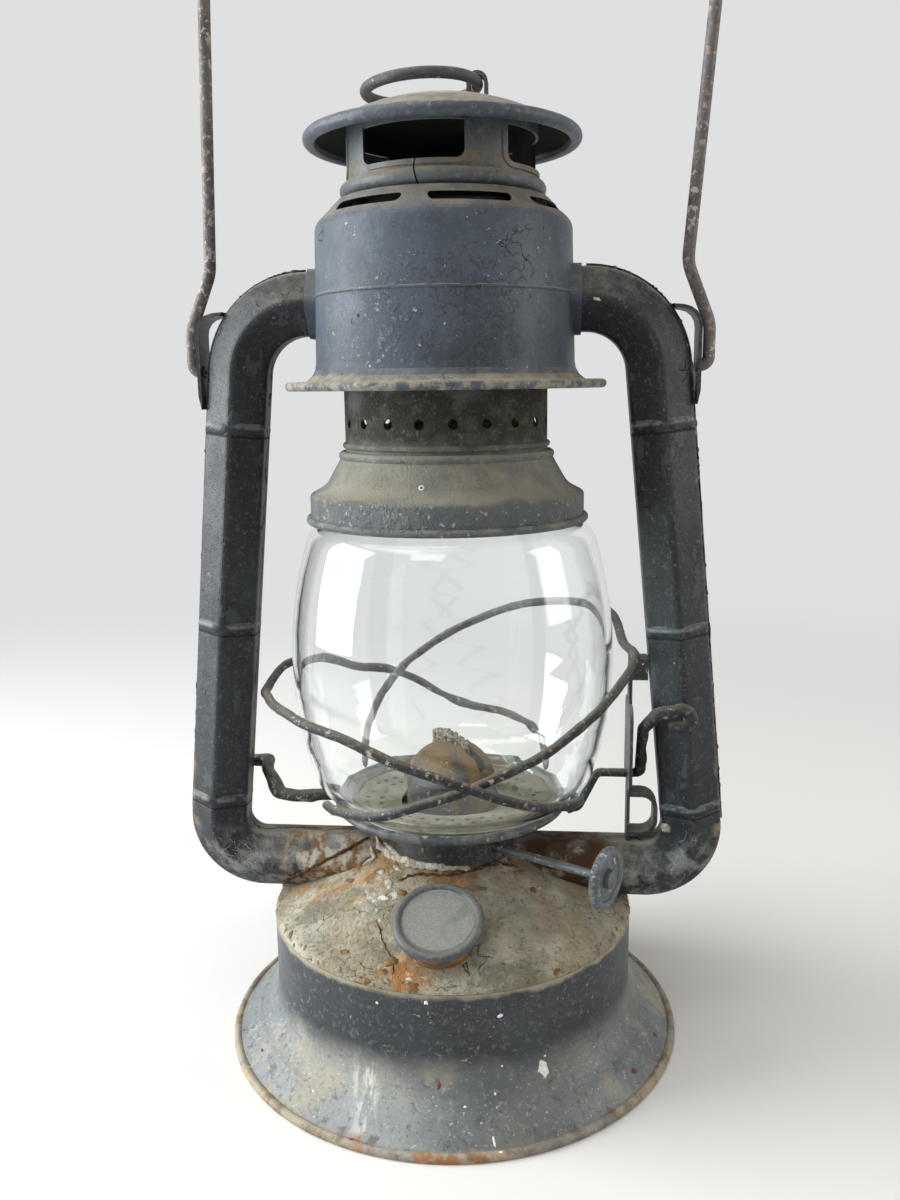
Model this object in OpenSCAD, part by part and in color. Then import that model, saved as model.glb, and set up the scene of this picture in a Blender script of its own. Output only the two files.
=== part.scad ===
// Kerosene tubular lantern with a short globe. Millimetres, +Z up.
// The origin is on the lamp axis at the foot. The side tubes lie along X and the filler faces -Y.

/* [Sheet and wire] */
// Thickness of the sheet metal
sheet = 0.9; // [0.7:0.1:1.1]
// Diameter of the bail wire
bail_wire = 4.2; // [3.4:0.1:5]
// Diameter of the guard and lift wires
guard_wire = 3.3; // [2.6:0.1:4]
// Diameter of the wire of the lift ring
ring_wire = 3.7; // [3:0.1:4.5]
// Diameter of the spring wire
spring_wire = 1.8; // [1.4:0.1:2.2]

/* [Fount] */
// Diameter over the rolled foot
foot_d = 172; // [160:1:210]
// Diameter of the roll at the foot
foot_roll = 3.2; // [2.4:0.2:4]
// Diameter of the tank side
fount_d = 136; // [124:1:144]
// Height where the flared skirt meets the tank side
flare_h = 22.7; // [20:0.1:28]
// Hollow radius of the flared skirt
flare_r = 16; // [12:0.5:18]
// Height of the tank side
fount_h = 49; // [44:0.5:60]
// Round at the shoulder of the tank
shoulder_r = 3; // [2:0.5:5]
// Slope of the tank top in degrees
top_slope = 26; // [22:1:28]
// Diameter of the burner collar
collar_d = 48.8; // [46:0.2:56]
// Height of the burner collar above the tank top
collar_h = 17; // [16:0.5:22]

/* [Filler] */
// Distance of the filler from the lamp axis
filler_y = 50; // [46:0.5:52]
// Outside diameter of the filler neck
neck_d = 24.6; // [20:0.2:26]
// Height of the filler neck above the tank top
neck_h = 7.3; // [6:0.1:10]
// Diameter over the rolled rim of the filler cap
cap_d = 31.2; // [30:0.2:36]
// Diameter of the roll on the filler cap
cap_roll = 3.2; // [2.4:0.2:4]
// Thickness of the gasket
gasket_t = 1.2; // [0.6:0.1:1.5]

/* [Side tubes] */
// Width of a side tube across its two flats
tube_w = 21.6; // [18:0.2:24]
// Depth of a side tube from ridge to ridge
tube_depth = 24; // [20:0.2:26]
// Width of the flat on each side of a tube
tube_flat = 9.2; // [7:0.2:11]
// Round on the ridges of a tube
tube_round = 2.5; // [1.5:0.1:3]
// Width of the seam lip along the outside of a tube
seam_lip = 1; // [0.6:0.1:1.4]
// Bend radius of the upper elbow, to the middle of the tube
elbow_top_r = 25; // [20:0.5:27]
// Bend radius of the lower elbow, to the middle of the tube
elbow_low_r = 17; // [16:0.5:22]
// Straight length of a tube between the hood and its upper elbow
stub_len = 4.1; // [3.5:0.1:8]
// How far the lower elbow stands out from the tank side
elbow_out = 5; // [4:0.5:9]
// Middle of the lower air duct above the tank side
duct_rise = 16; // [14:0.5:18]
// Width of the pressed ribs across the tubes
rib_w = 4.4; // [3.4:0.1:5]
// How far the ribs stand out
rib_rise = 0.9; // [0.6:0.1:1.2]

/* [Globe] */
// Largest outside diameter of the globe
globe_d = 117.8; // [110:0.2:122]
// Height of the globe
globe_h = 109.5; // [100:0.5:132]
// Sideways offset of the globe in its seat
globe_shift = 1.2; // [0:0.1:1.4]
// Diameter of the foot of the globe
globe_foot_d = 77.2; // [72:0.2:78]
// Radius of the barrel curve of the glass
globe_barrel_r = 144; // [120:1:180]
// Thickness of the glass
glass = 2.2; // [1.6:0.1:2.8]
// Diameter over the rolled rim of the globe plate
plate_d = 88; // [84:0.5:92]
// Diameter of the roll on the globe plate
plate_roll = 3.2; // [2.4:0.2:3.4]
// How far the lift crank raises the globe
globe_lift = 16.6; // [12:0.2:18]

/* [Chimney] */
// Diameter of the perforated ring
ring_wall_d = 71.6; // [68:0.2:74]
// Diameter of the skirt that covers the top of the globe
bell_d = 97.8; // [96.6:0.2:104]
// Height of the skirt
skirt_h = 7.5; // [6:0.5:10]
// Height from the skirt's foot to the top of its slope
slope_h = 21; // [18:0.5:26]
// Number of holes in the perforated ring
ring_holes = 20; // [12:1:24]
// Diameter of a hole in the perforated ring
ring_hole_d = 3.4; // [2.4:0.2:4.4]
// Outside diameter of the chimney tube
flue_d = 62.6; // [58:0.2:64]
// Height of the vent collar
vent_h = 19; // [16:0.5:24]
// Number of windows in the vent collar
vent_windows = 4; // [3:1:5]
// Width of a window in degrees
window_angle = 64; // [50:1:68]
// Direction of the first window from the front, in degrees
window_turn = -14; // [-45:1:45]
// Diameter over the rolled brim of the cap
dome_d = 94; // [86:1:112]
// Diameter of the roll on the brim of the cap
dome_roll = 4.4; // [3.4:0.2:5.4]
// Height of the domed cap above its brim
dome_h = 13.5; // [10:0.5:17]

/* [Hood] */
// Diameter of the hood at its top
hood_top_d = 88; // [84:0.5:96]
// Diameter of the hood above its brim
hood_low_d = 90.4; // [88:0.2:100]
// Diameter over the brim of the hood
brim_d = 112.4; // [104:0.4:120]
// Height of the flared part of the brim
brim_h = 7; // [5:0.5:10]
// Height of the drum of the hood
drum_h = 46; // [44:0.5:58]
// Height of the slotted shoulder
hood_shoulder_h = 8; // [6:0.5:11]
// Number of slots in the shoulder
hood_slots = 7; // [5:1:8]
// Width of a slot in degrees
slot_angle = 39; // [28:1:42]
// Direction of the first slot from the front, in degrees
slot_turn = 18; // [-30:1:30]

/* [Burner] */
// Diameter of the burner cone
cone_d = 33.5; // [31:0.5:35]
// Height of the burner cone to the top of its dome
cone_h = 26.6; // [24:0.2:32]
// Width of the wick
wick_w = 16; // [13:0.2:20]
// Thickness of the wick
wick_t = 2.8; // [2.2:0.1:3.2]
// How far the wick stands above the dome
wick_out = 3.5; // [2:0.5:6]
// Direction of the wick shaft from +X towards the front, in degrees
shaft_turn = 30; // [20:1:40]
// Height of the wick shaft above the floor of the burner
shaft_rise = 19; // [16:0.5:21]
// Diameter of the wick shaft
shaft_d = 3; // [2.4:0.1:3.4]
// Distance of the knob from the lamp axis
knob_reach = 68.8; // [62:0.2:76]
// Diameter of the knob
knob_d = 22; // [18:0.5:24]
// Number of teeth on a wick wheel
wheel_teeth = 10; // [8:1:14]

/* [Bail and lift ring] */
// Height of the straight arms of the bail above their pivot
bail_arm_h = 122; // [110:1:150]
// Bend radius of the bow of the bail
bail_bow_r = 82; // [70:0.5:86]
// Sideways lean of the right arm in degrees
bail_lean_right = 4.5; // [-2:0.5:5]
// Sideways lean of the left arm in degrees
bail_lean_left = 2; // [-2:0.5:4]
// Width of a bail ear
ear_w = 12; // [9:0.5:14]
// Outside diameter of the lift ring
lift_ring_d = 41.4; // [34:0.2:44]
// Distance of the ring staple from the lamp axis
staple_x = 12; // [8:0.5:15]

/* [Lift crank] */
// Height of the crank shaft above the globe plate
crank_rise = 12.3; // [11:0.1:14]
// Length of the thumb lever above the crank shaft
lever_len = 22.5; // [19:0.5:26]
// Forward lean of the thumb lever in degrees
lever_lean = 24; // [20:1:32]

/* [Clearances] */
// Gap at a soldered or pushed-in seam
seam_gap = 0.1; // [0.05:0.01:0.2]
// Radial gap of a shaft or pin in its hole
run_gap = 0.06; // [0.02:0.01:0.1]
// Gap round a piece that slides
slide_gap = 0.5; // [0.3:0.1:0.8]

/* [Hidden] */
$fn = 64;
eps = 0.01;
big = 400;
front = -90;
arc_steps = 8;
corner_steps = 4;
foot_flat = 0.35;

// Fount
foot_r = foot_d / 2;
fount_r = fount_d / 2;
collar_r = collar_d / 2;
flare_sweep = 60;
shoulder_end = [fount_r, fount_h] + shoulder_r * [sin(top_slope) - 1, cos(top_slope)];
function top_z(r) = shoulder_end[1] + (shoulder_end[0] - r) * tan(top_slope);
tank_floor_z = flare_h - sheet;
collar_top_z = top_z(collar_r) + collar_h;
duct_z = fount_h + duct_rise;
drum_floor_z = duct_z - 7;

// Filler
filler_base = [0, -filler_y, top_z(filler_y)];
neck_r = neck_d / 2;
neck_wall = 1.1;
neck_depth = 6;
thread_gap = 0.4;

// Side tubes
tube_half = tube_w / 2;
stub_z_above_brim = 28.2;

// Globe plate and globe
plate_z = collar_top_z;
plate_top_z = plate_z + sheet;
plate_r = plate_d / 2;
plate_hole_r = cone_d / 2 + 2.2;
plate_bead = [plate_r - plate_roll / 2, plate_top_z + 1.3];
globe_r = globe_d / 2;
globe_mid_z = plate_top_z + 0.52 * globe_h;
globe_foot_r = 14;
globe_neck_r = 11;
globe_top_z = plate_top_z + globe_h;
barrel_low_z = plate_top_z + 14;
barrel_top_z = globe_top_z - 9;
barrel_c = [globe_r - globe_barrel_r, globe_mid_z];
barrel_low_a = asin((barrel_low_z - globe_mid_z) / globe_barrel_r);
barrel_top_a = asin((barrel_top_z - globe_mid_z) / globe_barrel_r);
foot_c = barrel_c + (globe_barrel_r - globe_foot_r) * [cos(barrel_low_a), sin(barrel_low_a)];
rim_c = barrel_c + (globe_barrel_r - globe_neck_r) * [cos(barrel_top_a), sin(barrel_top_a)];
foot_end_a = -55;
rim_end_a = 70;
globe_ankle = [1.8, 2.8];
function glass_path() = concat(
    [[globe_foot_d / 2, plate_top_z], [globe_foot_d / 2 + globe_ankle[0], plate_top_z + globe_ankle[1]]],
    arc(foot_c, globe_foot_r, foot_end_a, barrel_low_a),
    arc(barrel_c, globe_barrel_r, barrel_low_a, barrel_top_a),
    arc(rim_c, globe_neck_r, barrel_top_a, rim_end_a),
    [[rim_c[0] + globe_neck_r * cos(rim_end_a), globe_top_z]]);
glass_radius = [for (p = glass_path()) [p[1], p[0]]];
function glass_r(z) = lookup(z, glass_radius);

// Chimney
bell_z = globe_top_z;
bell_r = bell_d / 2;
ring_wall_r = ring_wall_d / 2;
slope_top_z = bell_z + slope_h;
bell_bead_r = 1.6;
upper_bead_r = 1.1;
bell_foot_roll = 1.3;
ledge_in = 6.4;
chimney_pull = 10;
chimney_travel = globe_lift + chimney_pull;
baffle_z = slope_top_z + bell_bead_r + chimney_travel + 4;
ring_wall_top_z = baffle_z + 4;
flue_r = flue_d / 2;
hole_row_z = slope_top_z + 11.5;

// Hood
hood_brim_z = bell_z + 45;
brim_roll_r = 1.5;
brim_fillet_z = hood_brim_z + 2.2;
brim_fillet_r = 7;
socket_len = 2.4;
hood_z = hood_brim_z + brim_h;
hood_drum_top_z = hood_z + drum_h;
hood_top_z = hood_drum_top_z + hood_shoulder_h;
hood_low_r = hood_low_d / 2;
hood_top_r = hood_top_d / 2;
hood_hole_r = flue_r + slide_gap;
hood_lip_r = hood_hole_r + 4.2;
function hood_r(z) = hood_low_r + (hood_top_r - hood_low_r) * (z - hood_z) / drum_h;

// Vent collar and cap
vent_z = hood_top_z + 0.6;
vent_r = flue_r + seam_gap + sheet;
vent_foot_h = 3.4;
vent_bulge = 5.2;
window_round = 2.6;
split_w = 0.5;
dome_r = dome_d / 2 - dome_roll / 2;
dome_z = vent_z + vent_h;
dome_ball_r = (dome_r * dome_r + dome_h * dome_h) / (2 * dome_h);
dome_ball_z = dome_z + dome_h - dome_ball_r;
function dome_top(r) = dome_ball_z + sqrt(dome_ball_r * dome_ball_r - r * r);
vent_top_z = dome_top(vent_r) - sheet - 0.3;

// Side tube route
duct_drum_r = collar_r + seam_gap;
stub_z = hood_brim_z + stub_z_above_brim;
top_c = [hood_r(stub_z) + stub_len, stub_z - elbow_top_r];
low_c = [fount_r + elbow_out, duct_z + elbow_low_r];
elbow_span = low_c - top_c;
splay = atan2(elbow_span[0], -elbow_span[1]) - asin((elbow_top_r - elbow_low_r) / norm(elbow_span));
tube_top = top_c + elbow_top_r * [cos(splay), sin(splay)];
tube_low = low_c + elbow_low_r * [cos(splay), sin(splay)];
tube_len = norm(tube_top - tube_low);
function tube_x(z) = tube_low[0] - (z - tube_low[1]) * tan(splay);
function tube_inner(z) = tube_x(z) - tube_half / cos(splay);
function tube_outer(z) = tube_x(z) + (tube_half + seam_lip) / cos(splay);
rib_places = [0.041, 0.445, 0.88];
rib_r = (rib_w * rib_w / 4 + rib_rise * rib_rise) / (2 * rib_rise);
rib_depth = rib_r - rib_rise;
rib_bend = 4;

// Spring
spring_turns = 6;
spring_steps = 10;
spring_r = (flue_r + slide_gap + spring_wire / 2) / cos(180 / spring_steps);
spring_z = ring_wall_top_z + sheet + spring_wire / 2 + 0.2;
spring_top_z = hood_top_z - sheet - spring_wire / 2 - 0.6;

// Burner
burner_r = collar_r - 4;
burner_wall = 1.2;
burner_floor = 1.5;
burner_z = drum_floor_z + sheet;
burner_top_z = collar_top_z - 3.2;
gallery_r = collar_r - sheet - 0.6;
gallery_holes = 24;
cone_r = cone_d / 2;
cone_z = burner_top_z + sheet;
cone_flange = 1.4;
cone_top_z = cone_z + cone_h;
cone_ball_h = 13.5;
cone_ball_r = (cone_r * cone_r + cone_ball_h * cone_ball_h) / (2 * cone_ball_h);
wick_gap = 0.9;
wick_case_w = wick_w + 2 * (wick_gap + sheet);
wick_case_t = wick_t + 2 * (wick_gap + sheet);
case_low_z = burner_z - 11;
wick_case_top_z = cone_top_z - 5.5;
wick_top_z = cone_top_z + wick_out;
wick_low_z = tank_floor_z + sheet + 14;
socket_r = wick_case_w / 2 + 1;
socket_wall = 1.4;
shaft_z = burner_z + shaft_rise;
wheel_r = 4;
wheel_t = 2;
wheel_gap = 0.3;
shaft_off = wheel_r + wheel_gap + wick_t / 2;
wheel_places = [-wick_w / 4, wick_w / 4];
knob_t = 5;
knob_grips = 28;

// Bail and its ears
pivot_z = stub_z - 22.6;
ear_t = 1.2;
ear_bend = 7;
ear_foot = 5;
ear_in = tube_outer(pivot_z) + 1.1;
ear_out = ear_in + ear_t;
bail_x = ear_out + 1 + bail_wire / 2;
bail_kink = [14, 34];
bail_kink_in = 8;
bail_hook_r = bail_wire / 2 + 0.7;
bail_kink_r = 14;

// Lift crank, left guide and guard wires
wire_r = guard_wire / 2;
crank_z = plate_z + crank_rise;
pin_z = plate_z - 0.3 - wire_r;
bearing_t = 1.2;
bearing_x = globe_r + 7.1;
lever_x = bearing_x + bearing_t + 1.6 + wire_r;
lever_front = tube_depth / 2 + 2.2 + wire_r;
guard_seat_r = plate_r + wire_r + 0.15;
wire_bend = 4;
crank_bend = 2.6;
wire_lap = 0.05;
wire_ball = 0.06;
ball_turn = [45, 0, 30];

// Points along an arc
function polar(r, a) = r * [cos(a), sin(a)];
function arc(c, r, a, b, n = arc_steps) = [for (i = [0 : n]) c + polar(r, a + (b - a) * i / n)];
function unit(v) = v / norm(v);
function left_of(v) = [-v[1], v[0]];
function before(p, i) = i == 0 ? unit(p[1] - p[0]) : unit(p[i] - p[i - 1]);
function after(p, i) = i == len(p) - 1 ? unit(p[i] - p[i - 1]) : unit(p[i + 1] - p[i]);
function bisector(p, i) = unit(left_of(before(p, i)) + left_of(after(p, i)));
function mitre(p, i) = bisector(p, i) / (bisector(p, i) * left_of(before(p, i)));
// The path without its doubled points
function single(p) = [for (i = [0 : len(p) - 1]) if (i == 0 || norm(p[i] - p[max(i - 1, 0)]) > eps) p[i]];
// The path moved to its left by t
function beside(p, t) = [for (i = [0 : len(p) - 1]) p[i] + t * mitre(p, i)];
function reversed(p) = [for (i = [len(p) - 1 : -1 : 0]) p[i]];
// Outline of a sheet whose outer face follows the path, with its thickness on the left
function sheet_outline(p, t = sheet) = let (q = single(p)) concat(q, reversed(beside(q, t)));
// A corner rounded by r
function short_turn(a) = a > 180 ? a - 360 : a < -180 ? a + 360 : a;
function heading(v) = atan2(v[1], v[0]);
function rounded(a, p, b, r) = let (u = unit(a - p), v = unit(b - p), h = acos(u * v) / 2,
    c = p + r / sin(h) * unit(u + v), from = heading(p + r / tan(h) * u - c),
    sweep = short_turn(heading(p + r / tan(h) * v - c) - from))
    arc(c, r, from, from + sweep, corner_steps);

module revolve(p) {
    rotate_extrude() polygon(p);
}

module roll(r, z, d) {
    rotate_extrude() translate([r, z]) circle(d = d);
}

// An outline across and up, pushed inward through a round wall of radius r
module wall_cut(r) {
    rotate([90, 0, 90]) translate([0, 0, 0.7 * r]) linear_extrude(0.5 * r) children();
}

// A slot with round ends, and a window with round lower corners and a border
function slot_outline(w, z, h) = concat(arc([w / 2 - h / 2, z + h / 2], h / 2, -90, 90),
    arc([h / 2 - w / 2, z + h / 2], h / 2, 90, 270));
function window_outline(w, z, h, border) = let (c = window_round + border, x = w / 2 + border - c,
    y = z - border + c) concat(arc([x, y], c, -90, 0), [[x + c, z + h], [-x - c, z + h]],
    arc([-x, y], c, 180, 270));

// Local z along the axis, from the given point
module along(from, axis) {
    u = unit(cross(axis, abs(axis[2]) < 0.9 ? [0, 0, 1] : [1, 0, 0]));
    v = cross(axis, u);
    multmatrix([for (k = [0 : 2]) [u[k], v[k], axis[k], from[k]]]) children();
}

// A round wire through the points, bent with the radius given for each inner one
module bent_wire(p, d, radii) {
    n = len(p) - 1;
    dir = [for (i = [0 : n - 1]) unit(p[i + 1] - p[i])];
    turn = concat([0], [for (i = [1 : n - 1]) acos(dir[i - 1] * dir[i])], [0]);
    bend = concat([0], radii, [0]);
    cut = [for (i = [0 : n]) bend[i] * tan(turn[i] / 2)];
    for (i = [0 : n - 1]) {
        from = p[i] + dir[i] * (cut[i] + (i > 0 ? wire_lap : 0));
        to = p[i + 1] - dir[i] * (cut[i + 1] + (i < n - 1 ? wire_lap : 0));
        along(from, dir[i]) cylinder(d = d, h = norm(to - from));
    }
    for (i = [1 : n - 1]) {
        along(p[i] - dir[i - 1] * cut[i], dir[i - 1]) rotate(ball_turn) sphere(d = d + wire_ball);
        along(p[i] + dir[i] * cut[i], dir[i]) rotate(ball_turn) sphere(d = d + wire_ball);
        x = -unit(dir[i] - (dir[i] * dir[i - 1]) * dir[i - 1]);
        y = dir[i - 1];
        z = cross(x, y);
        c = p[i] - y * cut[i] - x * bend[i];
        multmatrix([for (k = [0 : 2]) [x[k], y[k], z[k], c[k]]])
            rotate_extrude(angle = turn[i]) translate([bend[i], 0]) circle(d = d);
    }
}

// A faceted round wire along many close points
module swept_wire(p, d, sides) {
    n = len(p);
    tangent = [for (i = [0 : n - 1]) unit(p[min(i + 1, n - 1)] - p[max(i - 1, 0)])];
    points = [for (i = [0 : n - 1]) let (u = unit(cross(tangent[i], [0, 0, 1])), v = cross(u, tangent[i]))
        for (k = [0 : sides - 1]) let (q = polar(d / 2, 360 * k / sides)) p[i] + q[0] * u + q[1] * v];
    walls = [for (i = [0 : n - 2]) for (k = [0 : sides - 1])
        let (a = i * sides + k, b = i * sides + (k + 1) % sides)
        each [[a, b, a + sides], [b, b + sides, a + sides]]];
    last = (n - 1) * sides;
    caps = [for (k = [1 : sides - 2]) each [[0, k + 1, k], [last, last + k, last + k + 1]]];
    polyhedron(points, concat(walls, caps));
}

// Smooth curve through stations, t counts stations from 0
function smooth(s, t) = let (n = len(s) - 1, i = min(floor(t), n - 1), f = t - i, a = s[max(i - 1, 0)],
    b = s[i], c = s[i + 1], d = s[min(i + 2, n)])
    b + 0.5 * f * (c - a + f * (2 * a - 5 * b + 4 * c - d + f * (3 * (b - c) + d - a)));

// Fount

module fount_shell() {
    path = concat([[foot_r - foot_roll / 2, foot_roll / 2 - foot_flat]],
        arc([fount_r + flare_r, flare_h], flare_r, 180 + flare_sweep, 180),
        [[fount_r, fount_h - 2 * seam_gap]]);
    color("#3b4148") difference() {
        union() {
            revolve(sheet_outline(path));
            roll(foot_r - foot_roll / 2, foot_roll / 2 - foot_flat, foot_roll);
        }
        translate([0, 0, -foot_roll]) cylinder(r = foot_r + foot_roll, h = foot_roll);
    }
}

module fount_top() {
    path = concat(arc([fount_r - shoulder_r, fount_h], shoulder_r, 0, 90 - top_slope, 4),
        [[collar_r + seam_gap, top_z(collar_r + seam_gap)]]);
    color("#7d7466") difference() {
        revolve(sheet_outline(path));
        for (side = [0, 1]) mirror([side, 0, 0]) duct_run(full_section(seam_gap));
        at_filler() translate([0, 0, -neck_depth]) cylinder(r = neck_r + seam_gap, h = 2 * neck_depth);
        cylinder(r = collar_r + seam_gap, h = big);
    }
}

module fount_bottom() {
    rim_h = 5;
    r = fount_r - sheet - seam_gap;
    color("#4a4d4f") {
        translate([0, 0, tank_floor_z]) cylinder(r = r, h = sheet);
        translate([0, 0, tank_floor_z + sheet]) difference() {
            cylinder(r = r, h = rim_h);
            translate([0, 0, -eps]) cylinder(r = r - sheet, h = rim_h + 2 * eps);
        }
    }
}

module at_filler() {
    translate(filler_base) rotate([top_slope, 0, 0]) children();
}

module filler_neck() {
    color("#8a6a45") at_filler() translate([0, 0, -neck_depth]) difference() {
        cylinder(r = neck_r, h = neck_depth + neck_h);
        translate([0, 0, -eps]) cylinder(r = neck_r - neck_wall, h = neck_depth + neck_h + 2 * eps);
    }
}

module cap_gasket() {
    color("#5b4630") at_filler() translate([0, 0, neck_h]) difference() {
        cylinder(r = neck_r, h = gasket_t);
        translate([0, 0, -eps]) cylinder(r = neck_r - 3, h = gasket_t + 2 * eps);
    }
}

module filler_cap() {
    disc_z = neck_h + gasket_t;
    skirt_in = neck_r + thread_gap;
    skirt_low = neck_h / 2;
    color("#55595b") at_filler() {
        translate([0, 0, disc_z]) cylinder(r = skirt_in + sheet, h = sheet);
        translate([0, 0, skirt_low]) difference() {
            cylinder(r = skirt_in + sheet, h = disc_z - skirt_low);
            translate([0, 0, -eps]) cylinder(r = skirt_in, h = disc_z - skirt_low + 2 * eps);
        }
        translate([0, 0, disc_z]) washer(cap_d / 2 - cap_roll / 2, skirt_in, sheet);
        roll(cap_d / 2 - cap_roll / 2, disc_z + 0.2, cap_roll);
    }
}

module burner_collar() {
    h = collar_top_z - drum_floor_z;
    color("#24282d") difference() {
        translate([0, 0, drum_floor_z]) cylinder(r = collar_r, h = h);
        translate([0, 0, drum_floor_z + sheet]) cylinder(r = collar_r - sheet, h = h);
        translate([0, 0, drum_floor_z - eps])
            cylinder(r = socket_r + socket_wall + seam_gap, h = sheet + 2 * eps);
        for (side = [0, 1]) mirror([side, 0, 0]) duct_run(full_section(-sheet));
        on_shaft(collar_r) cylinder(r = shaft_d / 2 + slide_gap, h = collar_r / 2, center = true);
    }
}

// Side tubes

tube_corners = [[tube_half, 0], [tube_half, tube_flat / 2], [0, tube_depth / 2],
    [-tube_half, tube_flat / 2], [-tube_half, 0]];
function tube_ridge(i) = rounded(tube_corners[i - 1], tube_corners[i], tube_corners[i + 1], tube_round);
tube_half_path = concat([tube_corners[0]], tube_ridge(1), tube_ridge(2), tube_ridge(3), [tube_corners[4]]);
function grown(t) = beside(tube_half_path, -t);
function full_section(t) = concat(grown(t), reversed([for (p = grown(t)) [p[0], -p[1]]]));
function half_section() = sheet_outline(tube_half_path);
function lip_section() = let (edge = tube_half + seam_lip)
    concat([[edge, 0], [edge, sheet], [tube_half, sheet]],
    [for (i = [1 : len(tube_half_path) - 1]) tube_half_path[i]], reversed(grown(-sheet)));
rib_faces = [for (i = [1 : 3]) tube_corners[i]];
rib_axis = [for (p = beside(rib_faces, rib_depth)) [p[0], p[1], 0]];

module duct_run(section, short = 0) {
    translate([0, 0, duct_z]) rotate([0, 90, 0]) linear_extrude(low_c[0] - short) polygon(section);
}

module tube_straight(z, h, section) {
    translate([tube_low[0], 0, tube_low[1]]) rotate([0, -splay, 0]) translate([0, 0, z])
        linear_extrude(h) polygon(section);
}

// A half-round rib across the two slanted faces of a tube half
module tube_rib(z) {
    ends = [for (i = [0, 2]) rib_axis[i] + 0.75 * rib_r * unit(rib_axis[1] - rib_axis[i])];
    difference() {
        translate([tube_low[0], 0, tube_low[1]]) rotate([0, -splay, 0]) translate([0, 0, z]) {
            bent_wire([ends[0], rib_axis[1], ends[1]], 2 * rib_r, [rib_bend]);
            for (i = [0, 1]) along(ends[i], unit(rib_axis[1] - ends[i])) rotate(ball_turn)
                sphere(r = rib_r + wire_ball / 2);
        }
        tube_straight(z - rib_r - 1, 2 * rib_r + 2, grown(-sheet / 2));
    }
}

// Back half of the right-hand tube
module half_tube() {
    color("#2f353c") difference() {
        union() {
            duct_run(half_section(), eps);
            translate([low_c[0], 0, low_c[1]]) rotate([-90, 0, 0]) rotate([0, 0, -splay])
                rotate_extrude(angle = 90 + splay) translate([elbow_low_r, 0]) polygon(half_section());
            tube_straight(eps, tube_len - 2 * eps, lip_section());
            for (place = rib_places) tube_rib(place * tube_len);
            translate([top_c[0], 0, top_c[1]]) rotate([-90, 0, 0]) rotate([0, 0, -90])
                rotate_extrude(angle = 90 - splay) translate([elbow_top_r, 0]) polygon(lip_section());
            translate([top_c[0] - eps, 0, stub_z]) rotate([0, -90, 0])
                linear_extrude(top_c[0]) polygon(half_section());
        }
        translate([0, 0, duct_z - tube_half - 1]) cylinder(r = duct_drum_r, h = tube_w + 2);
        hood_core(seam_gap);
    }
}

module hood_core(gap) {
    translate([0, 0, hood_z]) cylinder(r1 = hood_low_r + gap, r2 = hood_top_r + gap, h = drum_h);
}

module left_tube_front() {
    mirror([1, 0, 0]) mirror([0, 1, 0]) half_tube();
}

module left_tube_back() {
    mirror([1, 0, 0]) half_tube();
}

module right_tube_front() {
    mirror([0, 1, 0]) half_tube();
}

module right_tube_back() {
    half_tube();
}

// Hood

module hood() {
    brim_r = brim_d / 2 - brim_roll_r;
    brim = [brim_r, hood_brim_z];
    fillet = [hood_r(brim_fillet_z), brim_fillet_z];
    shoulder = [hood_top_r, hood_drum_top_z];
    path = concat([brim], rounded(brim, fillet, shoulder, brim_fillet_r),
        rounded(fillet, shoulder, [hood_lip_r, hood_top_z], 5),
        [[hood_lip_r, hood_top_z], [hood_hole_r, hood_top_z]]);
    slot_r = (hood_top_r + hood_lip_r) / 2;
    slot_h = hood_shoulder_h * 0.36;
    slot_w = 2 * slot_r * sin(slot_angle / 2);
    slot_z = hood_drum_top_z + hood_shoulder_h * 0.32;
    color("#31373e") difference() {
        union() {
            revolve(sheet_outline(path));
            roll(brim_r, hood_brim_z, 2 * brim_roll_r);
            bead_z = hood_z + drum_h * 0.5;
            difference() {
                roll(hood_r(bead_z) - 0.2, bead_z, 1.2);
                for (side = [0, 1]) mirror([side, 0, 0]) stub_way(seam_gap + sheet / 2);
            }
            difference() {
                for (side = [0, 1]) mirror([side, 0, 0]) stub_socket();
                hood_core(-sheet / 2);
            }
        }
        for (i = [0 : hood_slots - 1]) rotate([0, 0, front + slot_turn + i * 360 / hood_slots])
            wall_cut(slot_r) polygon(slot_outline(slot_w, slot_z, slot_h));
        for (side = [0, 1]) mirror([side, 0, 0]) stub_way(-sheet);
    }
}

// The straight way of a tube's end into the hood
module stub_way(grow) {
    translate([top_c[0], 0, stub_z]) rotate([0, -90, 0]) linear_extrude(top_c[0]) polygon(full_section(grow));
}

// The hood's short sleeve round a tube's end
module stub_socket() {
    translate([hood_r(stub_z) + socket_len, 0, stub_z]) rotate([0, -90, 0])
        linear_extrude(socket_len + stub_len) difference() {
            polygon(full_section(seam_gap + sheet));
            polygon(full_section(seam_gap));
        }
}

module hood_baffle() {
    lip_h = 3;
    in_r = ring_wall_r + slide_gap;
    out_r = hood_r(baffle_z) - sheet - 2 * seam_gap;
    path = [[out_r, baffle_z], [in_r + sheet, baffle_z], [in_r + sheet, baffle_z + lip_h]];
    color("#2a2f35") revolve(sheet_outline(path));
}

// Spring that presses the chimney down on the globe

function spring_point(t) = [spring_r * cos(360 * t), spring_r * sin(360 * t),
    spring_z + (spring_top_z - spring_z) * t / spring_turns];
spring_path = [for (i = [0 : spring_turns * spring_steps]) spring_point(i / spring_steps)];
spring_last = len(spring_path) - 1;
spring_gap = min([for (i = [0 : spring_last]) for (j = [i + spring_steps - 2 : 1 : spring_last])
    norm(spring_path[i] - spring_path[j])]) - spring_wire;
echo("least gap between spring turns", spring_gap);

module chimney_spring() {
    color("#6b6f72") swept_wire(spring_path, spring_wire, 6);
}

// Chimney

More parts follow.
